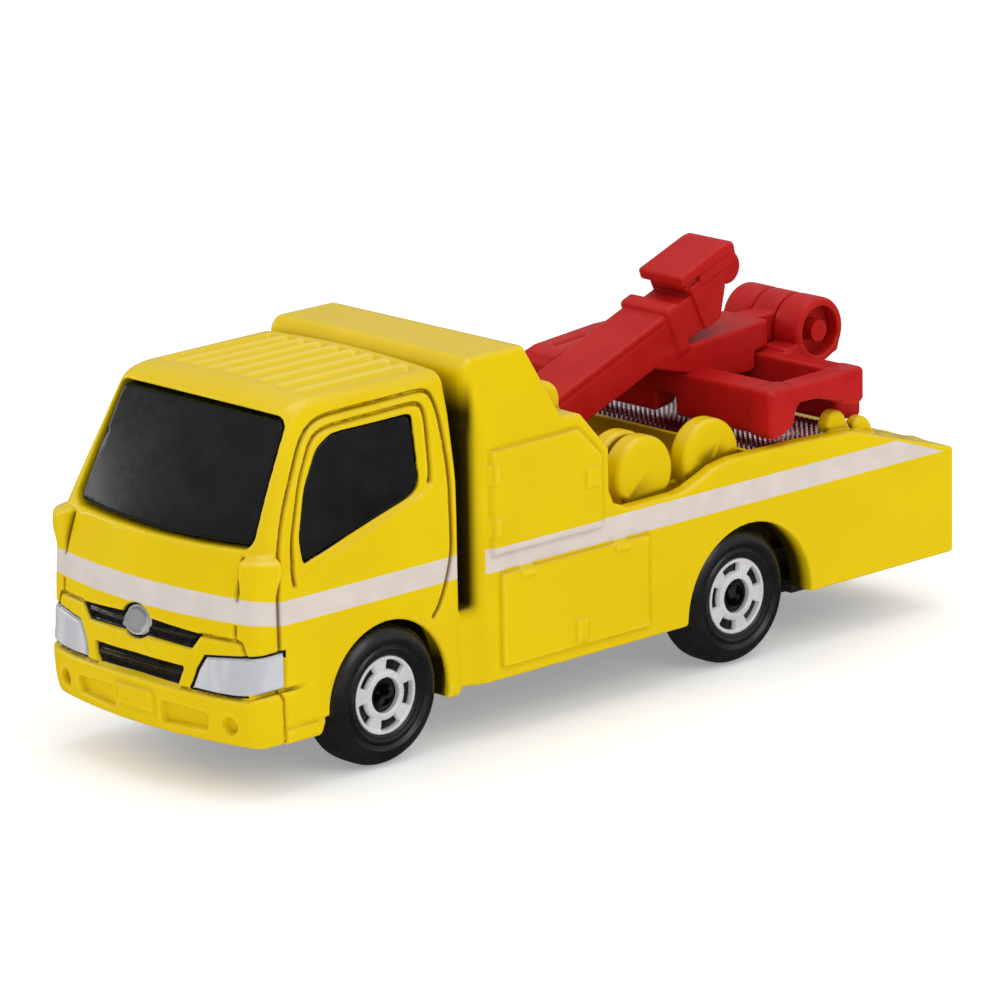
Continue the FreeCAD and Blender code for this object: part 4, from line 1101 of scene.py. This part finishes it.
def body_casting():
    body = Block((0, NOSE - 0.5, 3.2), (HALF_WIDTH + 0.5, TAIL + 0.9, ROOF + 0.5), BODY_STEP,
                 half=True)
    body.add((0, -40, 0), (14, -14.2, 40),
             lambda x, y, z: inter(cab_outer(x, y, z), 4.0 - z, 0.3))
    body.sink((0, -40, 3), (12.4, -29.4, 18.6), nose_relief)
    body.sink((0, -28, 26.8), (9, -14, 29), roof_relief)
    body.sink((7.5, -33.2, 3.3), (12.3, -14.2, 27.4), cab_side_relief)
    # window openings
    body.cut((0, -38, 17), (11, -26, 28.4),
             lambda x, y, z: inter(poly(x, z, SCREEN, 0.95), y + 26), 0.14)
    body.cut((6, -31.5, 16), (12, -17.5, 26.6),
             lambda x, y, z: inter(poly(y, z, PANE), 7.0 - x), 0.18)
    # the cab is hollowed before the join, so that the sill stays whole
    body.cut((0, -36.5, 0), (11.2, -15.9, 28), cab_hollow)
    bed, rows = toolbox_and_bed(body)
    body.field[:, rows] = np.minimum(body.field[:, rows], bed.field)
    body.cut((0, -18, 3), (11, -12, 7.4), base_plate_room)
    add_underside(body)
    body.cut((2, 3, 15), (4, 5.4, 17.4), lambda x, y, z: rod(y, z, BOOM_PIN, 0.705))
    return body


def window_insert():
    block = Block((0, -36.5, 15.8), (11.4, -17.0, 28.0), BODY_STEP, half=True)
    x, y, z = block.x, block.y, block.z
    front, side, top, _ = cab_faces(x, y, z)
    shell = np.maximum(np.maximum(front + 1.52, side + 1.27), top + 1.4)
    inner = np.maximum(np.maximum(front + 2.4, side + 2.0), top + 2.1)
    shape = np.maximum(shell, -inner)
    shape = np.maximum(shape, np.maximum(16.3 - z, y + 18.0))
    # panes fill the openings, set a little below the paint and rounded at the rim
    outer = cab_outer(x, y, z)
    screen = poly(x, z, SCREEN, 0.95)
    pane = inter(outer + 0.22, screen + 0.34, 0.25)
    pane = np.maximum(pane, np.maximum(-(outer + 1.8), y + 26.5))
    shape = np.minimum(shape, pane)
    # ledge that closes the gap round the screen
    ledge = np.maximum(np.maximum(outer + 0.95, -(outer + 1.9)),
                       np.maximum(screen + 0.03, y + 26.5))
    shape = np.minimum(shape, ledge)
    side_pane = inter(outer + 0.36, poly(y, z, PANE) + 0.05, 0.2)
    side_pane = np.maximum(side_pane, np.maximum(-(outer + 1.6), 7.5 - x))
    block.field = np.minimum(shape, side_pane)
    return block


# ---- boom and lift arm -----------------------------------------------------------
BOOM_ANGLE = math.radians(20.7)
BOOM_START = (4.02, 21.51)        # lower end of the boom's top line, (y, z)
# Outlines in the boom's own axes: along it, and square to it from its top line
BOOM_SHOULDER = [(15.3, -3.4), (15.0, 0.6), (18.9, 0.6), (18.5, -1.2), (17.1, -3.35)]
BOOM_NECK = [(14.9, 1.3), (14.8, 0.5), (15.1, -0.2), (15.4, -0.6), (19.8, -0.6), (20.2, 1.3)]
# Outlines in (y, z)
BOOM_FOOT = [(2.0, 16.2), (2.4, 14.8), (4.2, 14.0), (5.9, 14.8), (6.3, 16.2), (6.2, 19.4),
             (3.2, 20.2)]
LIFT_ARM = [(14.2, 21.6), (19.0, 20.3), (21.0, 19.9), (24.0, 19.6), (24.75, 19.8),
            (24.85, 21.2), (26.2, 21.35), (26.2, 23.5), (17.6, 22.96), (14.2, 22.9)]


def sloping_boom(x, y, z):
    cos, sin = math.cos(BOOM_ANGLE), math.sin(BOOM_ANGLE)
    along = (y - BOOM_START[0]) * cos + (z - BOOM_START[1]) * sin
    above = -(y - BOOM_START[0]) * sin + (z - BOOM_START[1]) * cos

    def bar(half, start, end, bottom, top, radius):
        flat = inter(slab(along, start, end), slab(above, bottom, top), radius)
        return across(flat, x, -half, half, radius)

    shape = bar(2.35, -0.9, 12.3, -3.35, 0.0, 0.22)
    # fine groove that leaves a lip along the top of each side
    lip = dent(np.abs(above + 0.62), 0.14, 0.07)
    shape = shape + lip * ramp(x, 1.9, 2.1) * ramp(along, 11.6, 11.3)
    shape = union(shape, bar(2.65, 11.75, 13.25, -3.75, 0.45, 0.4), 0.12)
    shape = union(shape, bar(2.0, 12.8, 17.0, -3.35, -0.15, 0.2), 0.1)
    shoulder = across(poly(along, above, BOOM_SHOULDER, 0.2), x, -2.28, 2.28, 0.2)
    shape = union(shape, shoulder, 0.1)
    shape = union(shape, across(poly(along, above, BOOM_NECK, 0.2), x, -2.0, 2.0, 0.2), 0.1)
    head = bar(2.4, 14.3, 20.4, 0.95, 1.95, 0.28)
    head = union(head, bar(2.4, 16.1, 20.3, 0.1, 1.6, 0.2), 0.1)
    head = inter(head, (above - 1.95) * 0.9 + (along - 19.95) * 0.44, 0.3)
    shape = union(shape, head, 0.08)
    shape = union(shape, across(rod(along, above, (19.5, -0.25), 1.32), x, -2.0, 2.0, 0.3), 0.1)
    # fine groove between the head plate and its core
    groove = dent(np.abs(above - 0.95), 0.10, 0.10) * ramp(along, 14.0, 14.6)
    return shape + groove * ramp(x, 2.0, 2.2) * ramp(along, 19.6, 19.2)


def boom():
    block = Block((0, 1.4, 13.5), (3.1, 33.4, 30.8), BOOM_STEP, half=True)
    x, y, z = block.x, block.y, block.z
    shape = sloping_boom(x, y, z)
    foot = across(poly(y, z, BOOM_FOOT, 0.3), x, -2.35, 2.35, 0.2)
    foot = union(foot, across(rod(y, z, BOOM_PIN, 2.2), x, -2.35, 2.35, 0.2))
    shape = union(shape, foot, 0.1)
    shape = union(shape, across(poly(y, z, LIFT_ARM, 0.2), x, -2.4, 2.4, 0.25), 0.15)
    web = brick(x, y, z, (-1.2, 25.6, 21.25), (1.2, 30.2, 23.5), 0.2)
    knuckle = across(rod(y, z, CRADLE_PIN, 2.60), x, -1.22, 1.22, 0.3)
    shape = union(shape, union(web, knuckle, 0.15), 0.15)
    shape = minus(shape, rod(y, z, BOOM_PIN, 0.75))
    block.field = minus(shape, rod(y, z, CRADLE_PIN, 0.9))
    return block


# Cradle outlines, (y, z): side cheek and front bar
CRADLE_CHEEK = [(17.4, 17.05), (18.6, 17.25), (19.3, 18.5), (20.5, 19.4), (22.4, 19.35),
                (25.7, 18.5), (26.7, 18.1), (27.3, 18.6), (27.3, 21.0), (17.0, 20.75),
                (17.0, 17.6)]
CRADLE_BAR = [(17.4, 17.15), (19.3, 17.45), (19.85, 18.0), (19.85, 20.85), (17.2, 20.75),
              (17.2, 17.6)]


def cradle():
    block = Block((0, 16.4, 15.8), (12.1, 33.4, 25.3), BOOM_STEP, half=True)
    x, y, z = block.x, block.y, block.z
    shape = across(poly(y, z, CRADLE_CHEEK, 0.3), x, 9.3, 11.6, 0.45)
    front = across(poly(y, z, CRADLE_BAR, 0.3), x, -11.6, 11.6, 0.45)
    # the middle of the front bar is relieved underneath
    front = minus(front, np.maximum(z - 18.8, x - 1.05), 0.4)
    shape = union(shape, front, 0.35)
    # rear bar
    shape = union(shape, brick(x, y, z, (1.35, 25.05, 18.35), (11.5, 27.25, 21.0), 0.32), 0.3)
    # outer knuckle, its web and the tab behind it
    shape = union(shape, across(rod(y, z, CRADLE_PIN, 2.62), x, 1.35, 4.15, 0.42), 0.1)
    shape = union(shape, brick(x, y, z, (1.4, 26.3, 19.9), (4.1, 30.4, 21.35), 0.25), 0.25)
    shape = union(shape, brick(x, y, z, (1.5, 30.0, 20.05), (4.05, 32.45, 21.1), 0.4), 0.2)
    # low bar across the back
    low_bar = brick(x, y, z, (-9.15, 26.7, 16.25), (9.15, 29.6, 18.9), 0.45)
    shape = union(shape, low_bar, 0.15)
    shape = minus(shape, np.maximum(rod(y, z, CRADLE_PIN, 1.95), 2.9 - x), 0.12)
    shape = minus(shape, rod(y, z, CRADLE_PIN, 0.86))
    # room for the boom's middle knuckle
    room = np.maximum(np.maximum(x - 1.3, 27.3 - y), 19.3 - z)
    block.field = minus(shape, room)
    return block


# Winch housing outlines, (y, z): the housing and the plate on its outer side
WINCH_SIDE = [(7.6, 12.05), (10.3, 12.05), (10.3, 17.6), (16.9, 20.0), (16.9, 23.7),
              (15.5, 23.72), (9.2, 23.2), (8.2, 22.9), (7.6, 22.2)]
WINCH_PLATE = [(9.2, 19.2), (13.0, 19.9), (15.6, 20.9), (15.6, 22.2), (9.2, 21.8)]


def winch():
    lo, hi = box_mm("winch_housing")
    block = Block((lo[0] - 0.5, lo[1] - 0.5, lo[2] - 0.4),
                  (hi[0] + 0.5, hi[1] + 0.5, hi[2] + 0.5), BOOM_STEP)
    x, y, z = block.x, block.y, block.z
    shape = across(poly(y, z, WINCH_SIDE, 0.25), x, lo[0], hi[0], 0.35)
    # groove along the top
    shape = shape + dent(path(x, y, [(-4.4, 9.9), (-4.4, 12.9)]), 0.2, 0.26) * ramp(z, 22.0, 22.6)
    # groove round the plate on the outer side, and its three small holes
    on_side = ramp(x, lo[0] + 0.7, lo[0] + 0.3)
    shape = shape + dent(np.abs(poly(y, z, WINCH_PLATE, 0.3)), 0.14, 0.16) * on_side
    for centre in ((9.9, 19.9), (15.0, 21.5), (9.9, 21.3)):
        shape = shape + pad(rod(y, z, centre, 0.28), 0.16, 0.1) * on_side
    # slot at the back
    slot = dent(path(x, z, [(-5.3, 21.8), (-3.6, 21.8)]), 0.42, 0.7)
    block.field = shape + slot * ramp(y, 16.2, 16.6)
    return block


# builder, object, most triangles, material, CAD piece, slot, what it rides on
MOULDINGS = [
    (body_casting, "body_casting_shell", 196000, "paint", "body_casting", "yellow_paint",
     "truck"),
    (window_insert, "window_insert_moulding", 90000, "glass", "window_insert",
     "black_window", "truck"),
    (boom, "boom_arm_moulding", 90000, "red", "boom_arm", "red_plastic", "boom"),
    (cradle, "cradle_moulding", 120000, "red", "cradle", "red_plastic", "cradle_body"),
    (winch, "winch_housing_moulding", 50000, "red", "winch_housing", "red_plastic", "truck"),
]
for build, name, most, material, piece, slot, mover in MOULDINGS:
    fit(mesh_block(name, build(), most), MATERIALS[material], piece, mover)

# ---- knurled deck plate ----------------------------------------------------------
STUD_PITCH = 0.53                 # rounded to a whole number of studs each way
PLATE_NOTCH = (9.3, 24.15)        # the rear corners beyond this |x| and y are left out


def close_underside(mesh, bottom):
    """Drops the rim down to the bottom and closes it."""
    bm = bmesh.new()
    bm.from_mesh(mesh)
    loose = [v for v in bm.verts if not v.link_faces]
    bmesh.ops.delete(bm, geom=loose, context="VERTS")
    rim = [e for e in bm.edges if e.is_boundary]
    extruded = bmesh.ops.extrude_edge_only(bm, edges=rim)
    for item in extruded["geom"]:
        if isinstance(item, bmesh.types.BMVert):
            item.co.z = bottom * MM
    bmesh.ops.recalc_face_normals(bm, faces=bm.faces)
    bmesh.ops.contextual_create(bm, geom=[e for e in bm.edges if e.is_boundary])
    bm.to_mesh(mesh)
    bm.free()


def deck_plate():
    """Pointed studs on a near-square pitch; lattice points lie half a pitch apart."""
    lo, hi = box_mm("deck_plate")
    studs_x = int(round((hi[0] - lo[0]) / STUD_PITCH))
    studs_y = int(round((hi[1] - lo[1]) / STUD_PITCH))
    pitch_x, pitch_y = (hi[0] - lo[0]) / studs_x, (hi[1] - lo[1]) / studs_y
    valley, tip = hi[2] - 0.20, hi[2] + 0.02
    tops = (valley, valley + 0.05, tip)     # by how many of the two indices are odd
    columns, rows = 2 * studs_x + 1, 2 * studs_y + 1
    verts, faces = [], []
    for i in range(columns):
        for j in range(rows):
            x, y = lo[0] + i * pitch_x / 2, lo[1] + j * pitch_y / 2
            verts.append((x * MM, y * MM, tops[i % 2 + j % 2] * MM))
    for i in range(columns - 1):
        for j in range(rows - 1):
            x, y = abs(lo[0] + (i + 0.5) * pitch_x / 2), lo[1] + (j + 0.5) * pitch_y / 2
            if x > PLATE_NOTCH[0] and y > PLATE_NOTCH[1]:
                continue
            near, far = i * rows + j, (i + 1) * rows + j
            # split towards the stud's tip
            if i % 2 == j % 2:
                faces += [(near, far, far + 1), (near, far + 1, near + 1)]
            else:
                faces += [(near, far, near + 1), (far, far + 1, near + 1)]
    ob = new_object("deck_plate_knurled", verts, faces)
    close_underside(ob.data, lo[2])
    return ob


fit(deck_plate(), MATERIALS["plate"], "deck_plate", "truck")

# ---- wheels ----------------------------------------------------------------------
TYRE_OUTER, TYRE_INNER = TYRE_HI[0], TYRE_LO[0]
TYRE_SEGMENTS = 96
# Tyre section: (depth in from the outer face, radius), then (depth in from the inner face, radius)
OUTER_SECTION = [
    (0.92, 0.62), (0.92, 1.25), (0.88, 1.33), (0.86, 2.90), (0.36, 2.955), (0.30, 2.99),
    (0.22, 3.10), (0.20, 3.30), (0.12, 3.42), (0.12, 3.56), (0.26, 3.66), (0.27, 3.80),
    (0.10, 3.96), (0.01, 4.04), (0, 4.16), (0.02, 4.30), (0.10, 4.55), (0.34, 4.90),
    (0.70, 5.16), (1.10, 5.33), (1.45, TYRE_RADIUS), (2.0, TYRE_RADIUS)]
INNER_SECTION = [
    (0.9, TYRE_RADIUS), (0.35, 5.28), (0.05, 4.95), (0, 4.6), (0, 4.1), (1.2, 3.85),
    (1.3, 1.55), (0.1, 1.45), (0, 1.35), (0, 0.62)]


def cut_corners(points):
    """One round of corner-cutting on an open profile; the ends stay."""
    out = [points[0]]
    for a, b in zip(points, points[1:]):
        out.append((a[0] * 0.75 + b[0] * 0.25, a[1] * 0.75 + b[1] * 0.25))
        out.append((a[0] * 0.25 + b[0] * 0.75, a[1] * 0.25 + b[1] * 0.75))
    return out + [points[-1]]


def tyre(name, side, axle_y):
    """Section turned round the axle; side is 1 on the left, -1 on the right."""
    section = cut_corners([(TYRE_OUTER - depth, radius) for depth, radius in OUTER_SECTION]
                          + [(TYRE_INNER + depth, radius) for depth, radius in INNER_SECTION])
    count = len(section)
    verts, faces = [], []
    for i in range(TYRE_SEGMENTS):
        angle = 2 * math.pi * i / TYRE_SEGMENTS
        for x, radius in section:
            verts.append((side * x * MM, (axle_y + radius * math.cos(angle)) * MM,
                          (AXLE_Z + radius * math.sin(angle)) * MM))
        here, after = i * count, (i + 1) % TYRE_SEGMENTS * count
        for j in range(count):
            k = (j + 1) % count
            face = (here + j, after + j, after + k, here + k)
            faces.append(face if side < 0 else face[::-1])
    ob = new_object(name, verts, faces)
    ob.data.polygons.foreach_set("use_smooth", np.ones(len(faces), bool))
    ob.data.update()
    return ob


def hub(name, side, axle_y, turn):
    """Disc with five slots, built lying flat; turn is in degrees."""
    block = Block((-3.15, -3.15, -0.4), (3.15, 3.15, 0.4), HUB_STEP)
    x, y, z = block.x, block.y, block.z
    radius = np.hypot(x, y)
    shape = inter(radius - f32(HUB_RADIUS - 0.01), np.abs(z) - 0.26, 0.07)
    # slots are ring pieces with straight sides
    pitch = 2 * math.pi / 5
    angle = np.mod(np.arctan2(y, x) - math.radians(turn) + pitch / 2, pitch) - pitch / 2
    along, beside = radius * np.cos(angle), radius * np.sin(angle)
    ring = np.abs(radius - f32(0.775 * HUB_RADIUS)) - 0.335
    sides = (np.abs(beside) - (0.80 + (along - 2.27) * 0.30)) * 0.95
    shape = minus(shape, np.maximum(ring, sides) - 0.02, 0.05)
    shape = minus(shape, radius - 1.33, 0.09)
    # the face is dished between a raised outer bead and a raised inner collar
    dish = 0.07 * ramp(radius, 1.62, 1.80) * ramp(radius, 2.72, 2.58)
    block.field = shape + dish * ramp(z, 0.0, 0.1)
    ob = mesh_block(name, block, 14000, adapt=0.01)
    # stand the disc up: its z becomes the axle direction
    place = side * (TYRE_OUTER - 0.30 - 0.27) * MM
    ob.data.transform(Matrix(((0, 0, side, place), (1, 0, 0, axle_y * MM),
                              (0, 1, 0, AXLE_Z * MM), (0, 0, 0, 1))))
    if side < 0:
        ob.data.flip_normals()
    ob.data.update()
    return ob


for end, axle_y, turn in (("front", FRONT_AXLE_Y, 64.4), ("rear", REAR_AXLE_Y, 102.0)):
    for hand, side in (("left", 1), ("right", -1)):
        tag = end + "_" + hand
        fit(tyre("tyre_%s_moulding" % tag, side, axle_y), MATERIALS["tyre"],
            "tyre_" + tag, "wheel_" + tag)
        fit(hub("hub_%s_face" % tag, side, axle_y, turn), MATERIALS["hub"],
            "hub_" + tag, "wheel_" + tag)

# ---- CAD pieces that stay, with new finishes -------------------------------------
FINISHES = {"base_plate": "base", "rivets": "rivet", "front_axle": "steel",
            "rear_axle": "steel", "front_spring": "pin", "rear_spring": "pin",
            "boom_pin": "pin", "cradle_pin": "red"}
for piece, finish in FINISHES.items():
    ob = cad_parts[piece]
    if not ob.material_slots:
        ob.data.materials.append(None)
    for slot in ob.material_slots:
        slot.link = "OBJECT"
        slot.material = MATERIALS[finish]

# ---- floor, world, lights and camera ---------------------------------------------
FLOOR_HALF = 4                    # metres
FLOOR_TONES = (0.86, 0.86, 0.86), (0.89, 0.89, 0.89)
WORLD_LIGHT = 0.74                # strength that lights the model
WORLD_REFLECTED = 0.34            # strength seen in reflections
WORLD_SEEN = 0.88                 # strength seen by the camera, the floor's own tone


def floor_material():
    sh = Shader("pale_floor")
    sh.set(color=sh.mottle(sh.noise(scale=0.02, detail=2.0), FLOOR_TONES), rough=0.6)
    sh.surface.inputs["Emission Color"].default_value = (1, 1, 1, 1)
    sh.surface.inputs["Emission Strength"].default_value = 0.28
    # reflections see a dark floor, as on a stand with a dark surround
    rays = sh.node("ShaderNodeLightPath")
    dim = sh.node("ShaderNodeEmission")
    dim.inputs[0].default_value = (0.035, 0.035, 0.035, 1)
    mixer = sh.node("ShaderNodeMixShader")
    sh.link(rays.outputs["Is Glossy Ray"], mixer.inputs[0])
    sh.link(sh.surface.outputs[0], mixer.inputs[1])
    sh.link(dim.outputs[0], mixer.inputs[2])
    sh.link(mixer.outputs[0], sh.tree.nodes["Material Output"].inputs[0])
    return sh.material


def studio_world():
    world = bpy.data.worlds.new("studio")
    bpy.context.scene.world = world
    world.use_nodes = True
    nodes, links = world.node_tree.nodes, world.node_tree.links
    background = nodes["Background"]
    background.inputs[0].default_value = (1.0, 1.0, 1.0, 1)
    background.inputs[1].default_value = WORLD_LIGHT
    rays = nodes.new("ShaderNodeLightPath")
    reflected = nodes.new("ShaderNodeMapRange")
    reflected.inputs[3].default_value = WORLD_LIGHT
    reflected.inputs[4].default_value = WORLD_REFLECTED
    links.new(rays.outputs["Is Glossy Ray"], reflected.inputs[0])
    seen = nodes.new("ShaderNodeMapRange")
    seen.inputs[4].default_value = WORLD_SEEN
    links.new(rays.outputs["Is Camera Ray"], seen.inputs[0])
    links.new(reflected.outputs[0], seen.inputs[3])
    links.new(seen.outputs[0], background.inputs[1])


def area_light(name, place, aim, size, power):
    """Square lamp in metres and watts, turned towards aim."""
    light = bpy.data.lights.new(name, "AREA")
    light.energy, light.size = power, size
    ob = link_object(name, light)
    turn = (Vector(aim) - Vector(place)).to_track_quat("-Z", "Y")
    ob.matrix_world = Matrix.Translation(place) @ turn.to_matrix().to_4x4()


def add_camera():
    data = bpy.data.cameras.new("camera")
    data.lens, data.sensor_width = 236.7945, 36.0
    data.clip_start, data.clip_end = 0.01, 20
    ob = link_object("camera", data)
    right = (0.6877574, 0.72574048, -0.01704433)
    top = (-0.17547123, 0.18897866, 0.96617644)
    back = (0.70441437, -0.66150421, 0.25731804)
    place = (0.3494505, -0.3285351, 0.141405)
    ob.matrix_world = Matrix(list(zip(right, top, back, place)) + [(0, 0, 0, 1)])
    bpy.context.scene.camera = ob


half = FLOOR_HALF
floor = new_object("floor", [(-half, -half, 0), (half, -half, 0), (half, half, 0),
                             (-half, half, 0)], [(0, 1, 2, 3)])
floor.data.materials.append(floor_material())
studio_world()
area_light("key", place=(0.30, -0.02, 0.26), aim=(0, 0, 0.01), size=0.22, power=0.24)
area_light("front_fill", place=(-0.05, -0.35, 0.20), aim=(0, 0, 0.012), size=0.25, power=0.03)
area_light("top", place=(0, 0.05, 0.42), aim=(0, 0, 0.01), size=0.35, power=0.50)
area_light("side_glow", place=(-0.375, -0.165, 0.15), aim=(0, -0.03, 0.02), size=0.09,
           power=0.16)
add_camera()
bpy.context.scene.view_settings.view_transform = "Standard"
